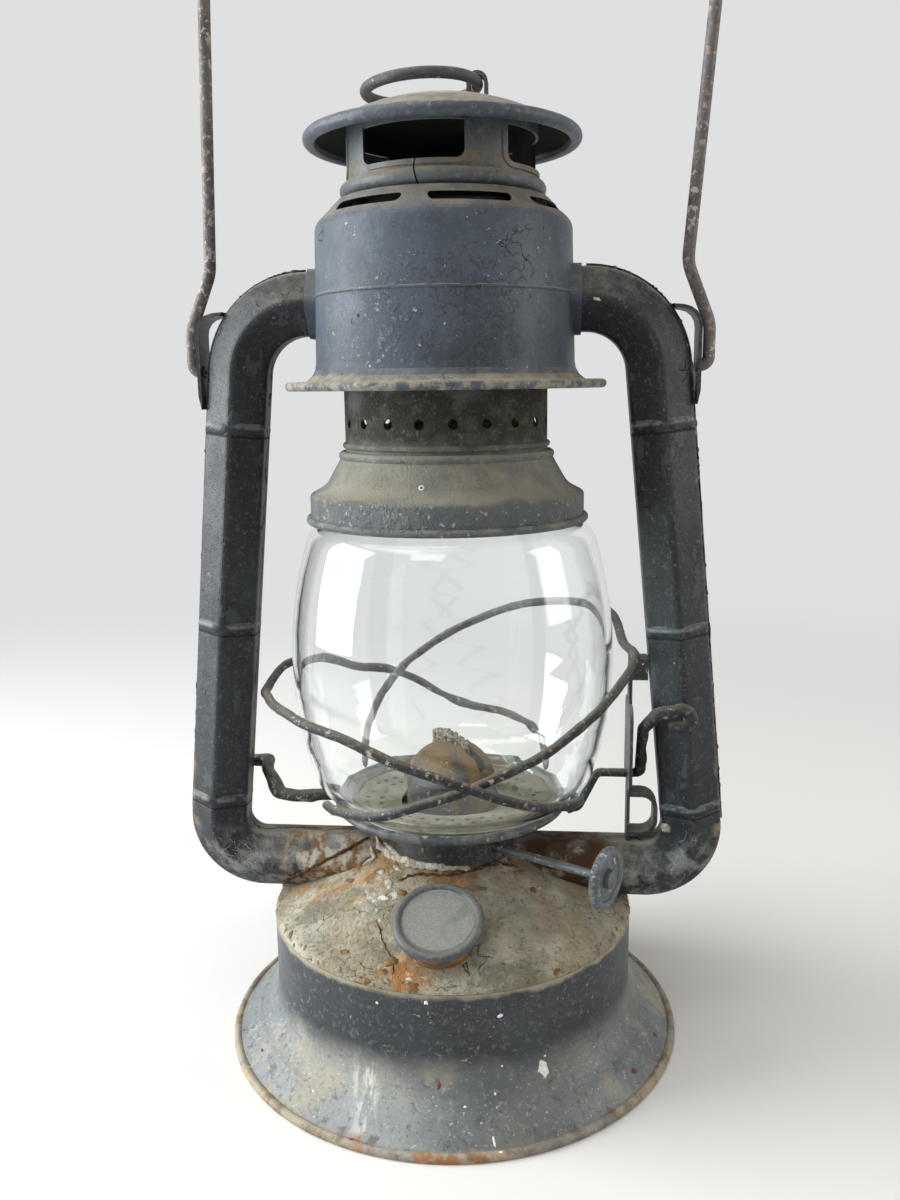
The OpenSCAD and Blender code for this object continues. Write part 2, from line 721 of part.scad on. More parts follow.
module chimney_bell() {
    brow = [bell_r, bell_z + skirt_h];
    fold = brow + [-5.8, 3];
    neck = [ring_wall_r + bell_bead_r, slope_top_z - 0.4];
    path = concat([[bell_r, bell_z - bell_foot_roll]], rounded([bell_r, bell_z], brow, fold, 1.5),
        rounded(brow, fold, neck, 9),
        [neck, [ring_wall_r, slope_top_z + 1.2], [ring_wall_r, ring_wall_top_z + sheet]]);
    ledge_r = bell_r - sheet / 2;
    color("#57534a") difference() {
        union() {
            revolve(sheet_outline(path));
            roll(ring_wall_r + 0.9, slope_top_z, 2 * bell_bead_r);
            roll(ring_wall_r - 0.1, slope_top_z + 3.6, 2 * upper_bead_r);
            roll(bell_r + 0.3, bell_z - bell_foot_roll, 2 * bell_foot_roll);
            translate([0, 0, bell_z]) washer(ledge_r, bell_r - ledge_in, sheet);
            translate([0, 0, ring_wall_top_z]) washer(ring_wall_r - sheet / 2, flue_r + seam_gap, sheet);
        }
        for (i = [0 : ring_holes - 1]) rotate([0, 0, front + (i + 0.5) * 360 / ring_holes])
            translate([ring_wall_r, 0, hole_row_z]) rotate([0, 90, 0])
                cylinder(d = ring_hole_d, h = 6, center = true);
    }
}

module washer(r_out, r_in, h) {
    difference() {
        cylinder(r = r_out, h = h);
        translate([0, 0, -eps]) cylinder(r = r_in, h = h + 2 * eps);
    }
}

module chimney_tube() {
    flare_foot = 0.6;
    z = ring_wall_top_z - 4;
    color("#3a3a38") {
        translate([0, 0, z]) washer(flue_r, flue_r - sheet, vent_z + vent_foot_h + 2 - z);
        translate([0, 0, ring_wall_top_z - flare_foot])
            washer(flue_r + sheet, flue_r - sheet / 2, flare_foot);
    }
}

module vent_collar() {
    path = [[vent_r + 1, vent_z], [vent_r, vent_z + vent_foot_h], [vent_r, vent_top_z]];
    window_z = vent_z + vent_foot_h + 4.2;
    window_h = dome_z - window_z;
    frame_w = 1.6;
    window_w = 2 * vent_r * sin(window_angle / 2);
    split = [[-5.4, window_z + 1], [-6.4, window_z - 1.4], [-6, window_z - 4], [-4.8, vent_z - 1]];
    color("#30353b") difference() {
        union() {
            revolve(sheet_outline(path));
            roll(vent_r + 0.2, vent_z + vent_bulge / 2, vent_bulge);
            for (i = [0 : vent_windows - 1]) rotate([0, 0, front + window_turn + i * 360 / vent_windows])
                intersection() {
                    wall_cut(vent_r) polygon(window_outline(window_w, window_z, window_h, frame_w));
                    translate([0, 0, window_z - 2 * frame_w])
                        washer(vent_r + 0.5, vent_r - sheet / 2, window_h + 2 * frame_w);
                }
        }
        translate([0, 0, vent_z - 1]) cylinder(r = vent_r - sheet + seam_gap / 2, h = vent_bulge + 2);
        for (i = [0 : vent_windows - 1]) rotate([0, 0, front + window_turn + i * 360 / vent_windows])
            wall_cut(vent_r) polygon(window_outline(window_w, window_z, window_h, 0));
        translate([0, 4 - vent_r, 0]) rotate([90, 0, 0]) linear_extrude(8)
            polygon(sheet_outline(split, split_w));
    }
}

module chimney_cap() {
    edge_a = asin(dome_r / dome_ball_r);
    path = arc([0, dome_ball_z], dome_ball_r, 90 - edge_a, 90, 12);
    color("#363c42") {
        revolve(concat(path, [[0, dome_ball_z + dome_ball_r - sheet]],
            arc([0, dome_ball_z], dome_ball_r - sheet, 90, 90 - edge_a, 12)));
        roll(dome_r, dome_z, dome_roll);
    }
}

// Staple and lift ring

staple_hole_r = ring_wire / 2 + 0.5;
staple_rise = 3.3;
staple_z = dome_top(staple_x) + staple_rise + ring_wire / 2;
staple_w = 5;
staple_t = 1.2;
staple_foot = 6;
ring_r = lift_ring_d / 2 - ring_wire / 2;
ring_sag = 3;

module ring_staple() {
    out_r = staple_hole_r + staple_t;
    drop = staple_z - dome_top(staple_x + out_r + staple_foot) + 1;
    color("#4a4d50") difference() {
        translate([staple_x, staple_w / 2, staple_z]) rotate([90, 0, 0]) {
            cylinder(r = out_r, h = staple_w);
            translate([-out_r, -drop, 0]) cube([2 * out_r, drop, staple_w]);
        }
        translate([staple_x, staple_w, staple_z]) rotate([90, 0, 0])
            cylinder(r = staple_hole_r, h = 2 * staple_w);
        translate([staple_x - staple_hole_r, -staple_w, staple_z - drop - 1])
            cube([2 * staple_hole_r, 2 * staple_w, drop + 1]);
        translate([0, 0, dome_ball_z]) sphere(r = dome_ball_r + seam_gap);
    }
    color("#4a4d50") intersection() {
        difference() {
            translate([0, 0, dome_ball_z]) sphere(r = dome_ball_r + seam_gap + staple_t);
            translate([0, 0, dome_ball_z]) sphere(r = dome_ball_r + seam_gap);
        }
        for (side = [-1, 1]) translate([staple_x, -staple_w / 2, staple_z - drop])
            translate([(side - 1) / 2 * staple_foot + side * staple_hole_r, 0, 0])
            cube([staple_foot, staple_w, drop]);
    }
}

module lift_ring() {
    color("#3f4448") translate([staple_x, 0, staple_z]) rotate([0, -ring_sag, 0]) translate([-ring_r, 0, 0])
        rotate_extrude() translate([ring_r, 0]) circle(d = ring_wire);
}

// Globe and its carrier

module globe() {
    color("#cfe3e6", 0.35) translate([globe_shift, 0, 0]) revolve(sheet_outline(glass_path(), glass));
}

module globe_plate() {
    slot_rows = [[plate_hole_r + 7.5, 30], [plate_hole_r + 13, 36]];
    slot_d = 2.2;
    path = [[plate_hole_r, plate_z], [plate_bead[0] - 1.2, plate_z], [plate_bead[0], plate_bead[1] - 0.3]];
    color("#7a705c") difference() {
        union() {
            revolve(sheet_outline(path));
            roll(plate_bead[0], plate_bead[1], plate_roll);
        }
        for (row = slot_rows) for (i = [0 : row[1] - 1]) rotate([0, 0, i * 360 / row[1]])
            translate([row[0], 0, plate_z - eps]) cylinder(d = slot_d, h = sheet + 2 * eps);
    }
}

// Guard wire stations: direction from the front, wire's middle from the glass, height above the plate
guard_a_places = [[-57, 2, 8], [-24, 3.1, 13], [11, 2.4, 26], [40, 3.7, 38], [58, 7.1, 49],
    [78, 9.7, 59], [97, 5.5, 60], [117, 9.6, 66], [130, 7.1, 69], [165, 4.7, 60], [206, 2.7, 37],
    [226, 3.7, 13]];
guard_b_places = [[70, 3.4, 7.5], [37, 4.7, 16], [11, 6.3, 27.5], [-29, 5.7, 42], [-70, 7.7, 44],
    [-92, 12.5, 41.5], [-105, 11.5, 46], [-118, 7.5, 46.5], [-136, 6.7, 39], [-155, 7.5, 33.5],
    [-177, 6.1, 20], [-200, 6.1, 17], [-219, 6.1, 10]];
guard_steps = 64;
function around(r, a, z) = [r * sin(a), -r * cos(a), z];
function guard_point(s) = let (z = plate_top_z + s[2]) around(glass_r(z) + s[1], s[0], z);
function guard_end(a) = around(guard_seat_r, a, plate_bead[1]);
function guard_run(s) = [for (i = [0 : guard_steps])
    guard_point(smooth(s, (len(s) - 1) * i / guard_steps))];
function guard_curve(s, from, to) = concat([guard_end(from)], guard_run(s), [guard_end(to)]);

module guard_wire_a() {
    color("#26292c") swept_wire(guard_curve(guard_a_places, -63, 237), guard_wire, 8);
}

module guard_wire_b() {
    color("#26292c") swept_wire(guard_curve(guard_b_places, 74, -234), guard_wire, 8);
}

module left_guide() {
    in_x = tube_inner(plate_z);
    hook_y = tube_depth / 2 + 2.4 + wire_r;
    hook_z = plate_z + 9;
    route = [[-plate_r - 0.15, -4, plate_bead[1]], [-in_x + 13, -4, plate_bead[1]],
        [-in_x + 7, 1, hook_z + 1], [-in_x + 3.5, hook_y, hook_z],
        [-tube_x(plate_z) + 2, hook_y, hook_z + 0.5]];
    color("#26292c") bent_wire(route, guard_wire, [for (i = [2 : len(route) - 1]) wire_bend]);
}

// Lift bracket on the right-hand tube, and the crank

module lift_bracket() {
    strip_w = 8;
    strip_low = duct_z + tube_half + 0.2;
    strip_top = crank_z + 45;
    blade_w = 25;
    blade_low = crank_z - 4;
    blade_top = crank_z + 28;
    lug_h = 8;
    lug_z = strip_top - lug_h;
    strap_low = strip_low + 2;
    strap_h = 17;
    strap_out = tube_inner(strap_low + strap_h) - 0.5;
    strap_top = strap_low + strap_h;
    strap_t = 1.6;
    color("#2b3035") difference() {
        union() {
            translate([bearing_x, -strip_w / 2, strip_low])
                cube([bearing_t, strip_w, strip_top - strip_low]);
            translate([bearing_x, 0, 0]) rotate([90, 0, 90]) linear_extrude(bearing_t)
                polygon(blade_outline(blade_w, blade_low, blade_top));
            translate([bearing_x, -strip_w / 2, lug_z])
                cube([tube_inner(lug_z + lug_h) - 0.2 - bearing_x, strip_w, lug_h]);
            translate([0, strip_w / 2, 0]) rotate([90, 0, 0]) linear_extrude(strip_w) difference() {
                polygon(strap_outline(bearing_x, strap_out, strap_low, strap_top, 0));
                polygon(strap_outline(bearing_x + bearing_t, strap_out, strap_low, strap_top, strap_t));
            }
        }
        translate([bearing_x - 1, 0, crank_z]) rotate([0, 90, 0])
            cylinder(r = wire_r + run_gap, h = bearing_t + 2);
    }
}

function blade_outline(w, low, top) = let (c = 5, h = w / 2) concat(
    arc([h - c, low + c], c, -90, 0), arc([h - c, top - c], c, 0, 90),
    arc([c - h, top - c], c, 90, 180), arc([c - h, low + c], c, 180, 270));
function strap_outline(in, out, low, top, t) = let (r = 6 - t, x = out - t - r) concat([[in, low + t]],
    arc([x, low + t + r], r, -90, 0, 5), arc([x, top - t - r], r, 0, 90, 5), [[in, top - t]]);

module lift_crank() {
    reach = globe_r - 10.9;
    thumb = [lever_x, -lever_len * sin(lever_lean), crank_z + lever_len * cos(lever_lean)];
    out_x = tube_x(thumb[2]) - 0.5;
    route = [[plate_bead[0] - 6, 0, pin_z], [reach, 0, pin_z], [reach + 7, 0, crank_z],
        [lever_x, 0, crank_z], thumb, [lever_x + 4.5, -lever_front, thumb[2] + 7.6],
        [out_x, -lever_front, thumb[2] + 9.6], [out_x + 2, -lever_front, thumb[2] + 3.4],
        [out_x - 6, -lever_front, thumb[2] + 2.6]];
    color("#26292c") bent_wire(route, guard_wire, [for (i = [2 : len(route) - 1]) crank_bend]);
}

// Burner

// Local z along the wick shaft, x across it, at a distance from the lamp axis
module on_shaft(s) {
    rotate([0, 0, -shaft_turn]) translate([s, -shaft_off, shaft_z]) rotate([0, 90, 0]) children();
}

// A box along the wick, centred on the lamp axis
module wick_box(w, t, low, top) {
    rotate([0, 0, -shaft_turn]) translate([-w / 2, -t / 2, low]) cube([w, t, top - low]);
}

// The slot that the wick tube passes through
module case_slot(low, top) {
    wick_box(wick_case_w + 2 * seam_gap, wick_case_t + 2 * seam_gap, low, top);
}

module burner_body() {
    socket_h = 6;
    color("#8d7442") difference() {
        union() {
            translate([0, 0, burner_z]) cylinder(r = burner_r, h = burner_top_z - burner_z);
            translate([0, 0, burner_z - socket_h]) cylinder(r = socket_r + socket_wall, h = socket_h);
        }
        translate([0, 0, burner_z + burner_floor]) cylinder(r = burner_r - burner_wall, h = burner_top_z);
        translate([0, 0, burner_z - socket_h - eps]) cylinder(r = socket_r, h = socket_h);
        case_slot(burner_z - 1, burner_z + burner_floor + 1);
        on_shaft(0) cylinder(r = shaft_d / 2 + run_gap, h = 4 * burner_r, center = true);
    }
}

module wick_tube() {
    color("#8d7442") difference() {
        wick_box(wick_case_w, wick_case_t, case_low_z, wick_case_top_z);
        wick_box(wick_case_w - 2 * sheet, wick_case_t - 2 * sheet, case_low_z - 1, wick_case_top_z + 1);
        for (s = wheel_places) on_shaft(s)
            cylinder(r = wheel_r + slide_gap, h = wheel_t + 2 * slide_gap, center = true);
    }
}

module burner_gallery() {
    color("#6f5f3e") difference() {
        translate([0, 0, burner_top_z]) cylinder(r = gallery_r, h = sheet);
        case_slot(burner_top_z - 1, burner_top_z + 2);
        for (i = [0 : gallery_holes - 1]) rotate([0, 0, i * 360 / gallery_holes])
            translate([gallery_r - 1.7, 0, burner_top_z - 1]) cylinder(d = 2, h = 3);
    }
}

module burner_cone() {
    ball_z = cone_top_z - cone_ball_r;
    wall_top = cone_top_z - cone_ball_h;
    edge_a = acos(cone_r / cone_ball_r);
    flange_r = cone_r + cone_flange;
    path = concat([[flange_r, cone_z], [flange_r, cone_z + sheet], [cone_r, cone_z + sheet]],
        arc([0, ball_z], cone_ball_r, edge_a, 90, 10),
        arc([0, ball_z], cone_ball_r - sheet, 90, edge_a, 10),
        [[cone_r - sheet, wall_top - 0.2], [cone_r - sheet, cone_z]]);
    color("#8a7447") difference() {
        revolve(path);
        wick_box(2 * cone_r - 3.5, wick_t + 2 * wick_gap, wall_top + 1, cone_top_z + 1);
    }
}

module wick() {
    color("#3a332b") wick_box(wick_w, wick_t, wick_low_z, wick_top_z);
}

module wick_shaft() {
    low = -sqrt(burner_r * burner_r - shaft_off * shaft_off) - 0.6;
    color("#5a5f63") on_shaft(low) cylinder(d = shaft_d, h = knob_reach - low + knob_t / 2);
}

module wick_wheels() {
    root = wheel_r - 1;
    tooth = [[0, root], [0.3, wheel_r], [0.5, wheel_r], [0.8, root]];
    outline = [for (i = [0 : wheel_teeth - 1]) for (q = tooth) polar(q[1], 360 * (i + q[0]) / wheel_teeth)];
    color("#7a7d80") for (s = wheel_places) on_shaft(s) translate([0, 0, -wheel_t / 2]) difference() {
        linear_extrude(wheel_t) polygon(outline);
        translate([0, 0, -1]) cylinder(d = shaft_d + seam_gap, h = wheel_t + 2);
    }
}

module wick_knob() {
    rim_t = 3.4;
    web_t = 1.4;
    hub_r = 3.4;
    r = knob_d / 2;
    color("#3d4043") on_shaft(knob_reach) difference() {
        union() {
            roll(r - rim_t / 2, 0, rim_t);
            translate([0, 0, -web_t / 2]) cylinder(r = r - rim_t / 2, h = web_t);
            translate([0, 0, -knob_t / 2]) cylinder(r = hub_r, h = knob_t);
        }
        translate([0, 0, -knob_t]) cylinder(d = shaft_d + seam_gap, h = 2 * knob_t);
        for (i = [0 : knob_grips - 1]) rotate([0, 0, i * 360 / knob_grips])
            translate([r + 0.35, 0, -knob_t / 2]) cylinder(d = 1.5, h = knob_t);
    }
}

// Bail and its ears

module bail() {
    corner_z = pivot_z + bail_arm_h + bail_bow_r;
    kink = [bail_x - bail_kink_in, pivot_z + bail_kink[1]];
    rise = corner_z - kink[1];
    right_x = kink[0] + rise * tan(bail_lean_right);
    left_x = rise * tan(bail_lean_left) - kink[0];
    bow_room = (right_x - left_x - 1) / (tan(45 + bail_lean_right / 2) + tan(45 - bail_lean_left / 2));
    bow = min(bail_bow_r, bow_room);
    tip = ear_in - 0.4;
    knee_z = pivot_z + bail_kink[0];
    route = [[tip, 0, pivot_z], [bail_x, 0, pivot_z], [bail_x, 0, knee_z], [kink[0], 0, kink[1]],
        [right_x, 0, corner_z], [left_x, 0, corner_z], [-kink[0], 0, kink[1]], [-bail_x, 0, knee_z],
        [-bail_x, 0, pivot_z], [-tip, 0, pivot_z]];
    color("#2c3034") bent_wire(route, bail_wire,
        [bail_hook_r, bail_kink_r, bail_kink_r, bow, bow, bail_kink_r, bail_kink_r, bail_hook_r]);
}

// Ear on the right-hand tube, a strap that stands off the elbow
module ear() {
    low = [ear_out, pivot_z - 8.5];
    corner = [ear_out, pivot_z + 19.4];
    root = [top_c[0] + elbow_top_r, pivot_z + 20.8];
    foot = [tube_outer(low[1] - ear_foot), low[1] - ear_foot];
    path = concat([foot], rounded(foot, low, corner, 3), rounded(low, corner, root, ear_bend), [root]);
    color("#3a3f43") difference() {
        translate([0, ear_w / 2, 0]) rotate([90, 0, 0]) linear_extrude(ear_w)
            polygon(sheet_outline(path, ear_t));
        translate([top_c[0], ear_w, top_c[1]]) rotate([90, 0, 0])
            cylinder(r = elbow_top_r + tube_half + seam_lip + seam_gap, h = 2 * ear_w);
        translate([tube_low[0], -ear_w, tube_low[1]]) rotate([0, -splay, 0])
            cube([tube_half + seam_lip + seam_gap, 2 * ear_w, tube_len]);
        translate([ear_in - 1, 0, pivot_z]) rotate([0, 90, 0])
            cylinder(r = bail_wire / 2 + run_gap, h = ear_t + 2);
    }
}

module left_ear() {
    mirror([1, 0, 0]) ear();
}

module right_ear() {
    ear();
}

fount_shell();
fount_top();
fount_bottom();
filler_neck();
cap_gasket();
filler_cap();
burner_collar();
burner_body();
wick_tube();
burner_gallery();
burner_cone();
wick();
wick_shaft();
wick_wheels();
wick_knob();
left_tube_front();
left_tube_back();
right_tube_front();
right_tube_back();
hood();
hood_baffle();
chimney_spring();
chimney_bell();
chimney_tube();
vent_collar();
chimney_cap();
ring_staple();
lift_ring();
globe();
globe_plate();
guard_wire_a();
guard_wire_b();
left_guide();
lift_bracket();
lift_crank();
bail();
left_ear();
right_ear();
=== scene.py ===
import random
from math import cos, hypot, pi, radians, sin, sqrt

import bmesh
import bpy
from mathutils import Matrix, Vector, noise
from mathutils.bvhtree import BVHTree


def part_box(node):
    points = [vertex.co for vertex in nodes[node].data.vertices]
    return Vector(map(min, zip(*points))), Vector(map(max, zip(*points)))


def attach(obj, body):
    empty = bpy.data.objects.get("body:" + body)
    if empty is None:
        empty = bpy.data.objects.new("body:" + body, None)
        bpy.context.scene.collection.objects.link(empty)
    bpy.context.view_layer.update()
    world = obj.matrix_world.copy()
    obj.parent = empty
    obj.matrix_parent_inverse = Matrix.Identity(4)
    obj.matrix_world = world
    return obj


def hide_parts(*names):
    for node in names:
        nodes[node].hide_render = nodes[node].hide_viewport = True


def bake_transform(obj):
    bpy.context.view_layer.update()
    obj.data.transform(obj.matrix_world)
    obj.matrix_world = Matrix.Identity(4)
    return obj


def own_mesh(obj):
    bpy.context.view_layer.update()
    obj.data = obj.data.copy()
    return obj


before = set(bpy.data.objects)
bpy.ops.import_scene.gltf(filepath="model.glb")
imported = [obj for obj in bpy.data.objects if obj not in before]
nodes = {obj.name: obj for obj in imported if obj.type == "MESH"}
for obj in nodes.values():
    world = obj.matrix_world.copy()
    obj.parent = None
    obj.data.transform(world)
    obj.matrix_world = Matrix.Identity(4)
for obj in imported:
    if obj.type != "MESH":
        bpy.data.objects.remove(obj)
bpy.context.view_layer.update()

mm = 0.001
print("frame loaded:", len(nodes), "nodes")

# camera: place in metres, angles in degrees, focal length and frame in pixels, sensor in mm
eye = dict(place=(0.0357, -0.3793, 0.2447), azimuth=5.3, pitch=11.52, roll=0.76, focal=1057.5,
    frame=(900, 1200), sensor=36.0, clip=(0.01, 50))


def sight():  # the camera's right, up and forward
    a, p, r = (radians(eye[k]) for k in ("azimuth", "pitch", "roll"))
    forward = Vector((-sin(a) * cos(p), cos(a) * cos(p), -sin(p)))
    right = forward.cross(Vector((0, 0, 1))).normalized()
    up = right.cross(forward)
    return right * cos(r) - up * sin(r), up * cos(r) + right * sin(r), forward


def placed(name, data):
    made = bpy.data.objects.new(name, data)
    bpy.context.scene.collection.objects.link(made)
    return made


def makeCamera():
    right, up, forward = sight()
    lens = bpy.data.cameras.new("lanternCamera")
    lens.sensor_width = eye["sensor"]
    lens.lens = eye["sensor"] * eye["focal"] / max(eye["frame"])
    lens.clip_start, lens.clip_end = eye["clip"]
    camera = placed("lanternCamera", lens)
    turn = Matrix((right, up, -forward)).transposed().to_4x4()
    camera.matrix_world = Matrix.Translation(eye["place"]) @ turn
    bpy.context.scene.camera = camera


makeCamera()
print("camera set")


def tint(code):  # "#rrggbb" as the linear colour that a socket takes
    parts = [int(code[i:i + 2], 16) / 255 for i in (1, 3, 5)]
    return (*[p / 12.92 if p <= 0.04045 else ((p + 0.055) / 1.055) ** 2.4 for p in parts], 1)


class Flow:  # a socket that takes part in sums
    def __init__(self, owner, socket):
        self.owner, self.socket = owner, socket

    def sum(self, operation, other, swap=False):
        pair = (other, self) if swap else (self, other)
        return self.owner.add("Math", {"operation": operation}, dict(enumerate(pair)))

    def __add__(self, other):
        return self.sum("ADD", other)

    def __sub__(self, other):
        return self.sum("SUBTRACT", other)

    def __rsub__(self, other):
        return self.sum("SUBTRACT", other, True)

    def __mul__(self, other):
        return self.sum("MULTIPLY", other)

    def __truediv__(self, other):
        return self.sum("DIVIDE", other)

    def most(self, other):
        return self.sum("MAXIMUM", other)

    __radd__, __rmul__ = __add__, __mul__


class Tree:  # a node tree, whose nodes all come from add
    def __init__(self, tree):
        self.tree = tree

    def add(self, kind, settings=None, sockets=None, out=0):
        node = self.tree.nodes.new("ShaderNode" + kind)
        for name, value in (settings or {}).items():
            setattr(node, name, value)
        for name, value in (sockets or {}).items():
            self.feed(node.inputs[name], value)
        return Flow(self, node.outputs[out])

    def feed(self, socket, value):
        if isinstance(value, Flow):
            self.tree.links.new(value.socket, socket)
        else:
            socket.default_value = value

    def rays(self):  # 1 for rays that see the backdrop itself
        node = self.add("LightPath").socket.node
        names = ("Is Camera Ray", "Is Glossy Ray", "Is Transmission Ray")
        camera, glossy, through = (Flow(self, node.outputs[name]) for name in names)
        return camera.most(glossy).most(through)

    def blend(self, mask, first, second, output):  # two shaders into the tree's output node
        both = self.add("MixShader", sockets={0: mask, 1: first, 2: second})
        self.feed(self.tree.nodes[output].inputs["Surface"], both)


class Finish(Tree):  # one material, laid coat over coat
    def __init__(self, name, colour, rough):
        self.material = bpy.data.materials.new(name)
        self.material.use_nodes = True
        super().__init__(self.material.node_tree)
        self.shader = self.tree.nodes["Principled BSDF"]
        self.plain = Flow(self, self.shader.outputs[0])
        self.colour, self.rough, self.height, self.metal = tint(colour), rough, 0.0, 0.0
        where = self.add("TexCoord").socket.node
        self.at = Flow(self, where.outputs["Object"])
        self.x, self.y, self.z = self.split(self.at)
        self.normal = Flow(self, where.outputs["Normal"])
        self.up = self.split(self.normal)[2]

    def split(self, vector):
        node = self.add("SeparateXYZ", sockets={0: vector}).socket.node
        return [Flow(self, out) for out in node.outputs]

    def noise(self, scale, detail=4, rough=0.55, shift=0.0, stretch=(1, 1, 1)):
        moved = {"Vector": self.at, "Scale": stretch, "Location": (shift,) * 3}
        at = self.add("Mapping", sockets=moved)
        grain = {"Vector": at, "Scale": scale, "Detail": detail, "Roughness": rough}
        return self.add("TexNoise", sockets=grain)

    def step(self, value, low, high):  # 0 at low, 1 at high, soft between
        return self.add("MapRange", {"interpolation_type": "SMOOTHSTEP"},
                        {"Value": value, "From Min": low, "From Max": high})

    def fall(self, value, low, high):  # 1 at low, 0 at high
        return 1 - self.step(value, low, high)

    def band(self, value, low, high, soft):  # 1 between low and high
        return self.step(value, low - soft, low + soft) * self.fall(value, high - soft, high + soft)

    def blot(self, low, high, *grain, **more):  # soft-edged patches of noise
        return self.step(self.noise(*grain, **more), low, high)

    def ragged(self, value, reach, *grain, **more):  # a value that wavers by half of reach either way
        return value + (self.noise(*grain, **more) - 0.5) * reach

    def seams(self, scale, warp, warpScale, width=0.022):  # 1 on the edges of wandering cells
        around = {"Vector": self.at, "Scale": warpScale, "Detail": 3}
        drift = self.add("TexNoise", sockets=around, out=1)
        drift = self.add("VectorMath", {"operation": "SCALE"}, {0: drift, "Scale": warp})
        moved = self.add("VectorMath", {"operation": "ADD"}, {0: self.at, 1: drift})
        cells = {"Vector": moved, "Scale": scale}
        return self.fall(self.add("TexVoronoi", {"feature": "DISTANCE_TO_EDGE"}, cells), 0.0, width)

    def near(self, point, inner, outer, waver, scale=200):  # 1 close to the point
        gap = self.add("VectorMath", {"operation": "DISTANCE"}, {0: self.at, 1: point}, out=1)
        return self.fall(self.ragged(gap, waver, scale, 4), inner, outer)

    def around(self):  # distance from the lamp axis
        flat = self.add("CombineXYZ", sockets={0: self.x, 1: self.y})
        return self.add("VectorMath", {"operation": "LENGTH"}, {0: flat}, out=1)

    def inside(self):  # 1 on faces that look at the lamp axis
        nx, ny, _ = self.split(self.normal)
        return self.fall((nx * self.x + ny * self.y) / (self.around() + 0.001), -0.6, -0.2)

    def edge(self, width):  # 1 on the ridges
        soft = self.add("Bevel", {"samples": 4}, {"Radius": width})
        plain = self.add("NewGeometry", out=1)
        match = self.add("VectorMath", {"operation": "DOT_PRODUCT"}, {0: soft, 1: plain}, out=1)
        return self.fall(match, 0.86, 0.985)

    def mix(self, a, b, mask):
        return self.add("Mix", {"data_type": "RGBA"}, {0: mask, 6: a, 7: b}, out=2)

    def tones(self, first, second, *patches, **more):  # two colours in patches
        return self.mix(tint(first), tint(second), self.blot(*patches, **more))

    def cover(self, mask, colour, rough=None, rise=0.0, metal=None):  # one more coat, rise in mm
        self.colour = self.mix(self.colour, tint(colour) if isinstance(colour, str) else colour, mask)
        if rough is not None:
            self.rough = self.rough + mask * (rough - self.rough)
        if metal is not None:
            self.metal = self.metal + mask * (metal - self.metal)
        if rise:
            self.height = self.height + mask * rise
        return self

    def coats(self, mask, *rows):  # rows: the patches (low, high and noise), their share, then as in cover
        for patches, share, *coat in rows:
            self.cover(mask * self.blot(*patches) * share, *coat)
        return self

    def relief(self, value, rise):
        self.height = self.height + value * rise
        return self

    def close(self, depth=1.0):
        inputs = self.shader.inputs
        self.feed(inputs["Base Color"], self.colour)
        self.feed(inputs["Roughness"], self.rough)
        self.feed(inputs["Metallic"], self.metal)
        if isinstance(self.height, Flow):
            raised = {"Strength": 1.0, "Distance": mm * depth, "Height": self.height}
            self.feed(inputs["Normal"], self.add("Bump", sockets=raised))
        return self.material


# what every painted finish starts from; places and heights further down are in metres
paintLook = dict(coat="#33373c", shade="#26292d", wornAndHighlight="#6d7173", bare="#8a8a84", rust="#6b4a31",
    crackTone="#0b0a09", dustTone="#8a8270", fleckTone="#a5a299", pale="#7d8284",
    sootAndShadeTones=("#0d0c0b", "#1c1916"), rough=0.4, edge=0.5, edgeWidth=0.9 * mm, chip=0.7, chipScale=330,
    crack=0.66, crackScale=120, dust=0.75, dustLow=0.35, dustHigh=1.05, grain=0.05, flecks=0.0, sootAndShade=False,
    mottle=0.4, gloss=0.35)


def paint(name, changes):  # old over-paint: uneven, chipped, cracked, dusty where it faces up
    look = {**paintLook, **changes}
    rough, mottle, chip, crack = (look[key] for key in ("rough", "mottle", "chip", "crack"))
    f = Finish(name, look["coat"], rough)
    f.shader.inputs["Specular IOR Level"].default_value = look["gloss"]
    f.coats(1,
        ((0.38, 0.66, 38, 5, 0.6), 1, look["shade"], rough + 0.08),
        ((0.52, 0.66, 430, 6, 0.72), mottle, look["pale"], rough + 0.12, 0.02),
        ((0.53, 0.66, 520, 6, 0.72, 4), mottle, look["crackTone"], rough + 0.1, -0.03))
    f.relief(f.noise(160, 5, 0.6), 0.14).relief(f.noise(1400, 3, 0.6), look["grain"])
    # lighter worn paint on the ridges, which also serves as a painted highlight along them
    if look["edge"]:
        f.coats(f.edge(look["edgeWidth"]), ((0.4, 0.62, 420, 3), look["edge"], look["wornAndHighlight"], 0.5))
    chipTone = f.tones(look["bare"], look["rust"], 0.45, 0.6, 120, 3)
    f.coats(1, ((chip, chip + 0.02, look["chipScale"], 6, 0.62), 1, chipTone, 0.7, -0.08))
    f.coats(f.seams(look["crackScale"], 0.006, 140),
        ((crack, crack + 0.04, 90, 3), 1, look["crackTone"], 0.8, -0.12))
    dust = f.step(f.ragged(f.up, 0.9, 210, 6, 0.7), look["dustLow"], look["dustHigh"]) * look["dust"]
    f.cover(dust, look["dustTone"], 0.88, 0.03)
    f.coats(1, ((0.66, 0.7, 1100, 3, 0.5), 0.5, look["wornAndHighlight"], 0.7))
    if look["flecks"]:
        upright = f.blot(0.7, 0.74, 1050, 2, 0.4, stretch=(1, 1, 0.5))
        level = f.blot(0.71, 0.75, 900, 2, 0.4, 3, (0.45, 0.45, 1))
        f.coats(upright.most(level), ((0.35, 0.62, 45, 3, 0.55, 5), look["flecks"], look["fleckTone"], 0.8))
    # soot and painted shade: faces that look at the lamp axis go near black
    if look["sootAndShade"]:
        f.cover(f.inside(), f.tones(*look["sootAndShadeTones"], 0.45, 0.6, 120, 4), 0.95)
    return f


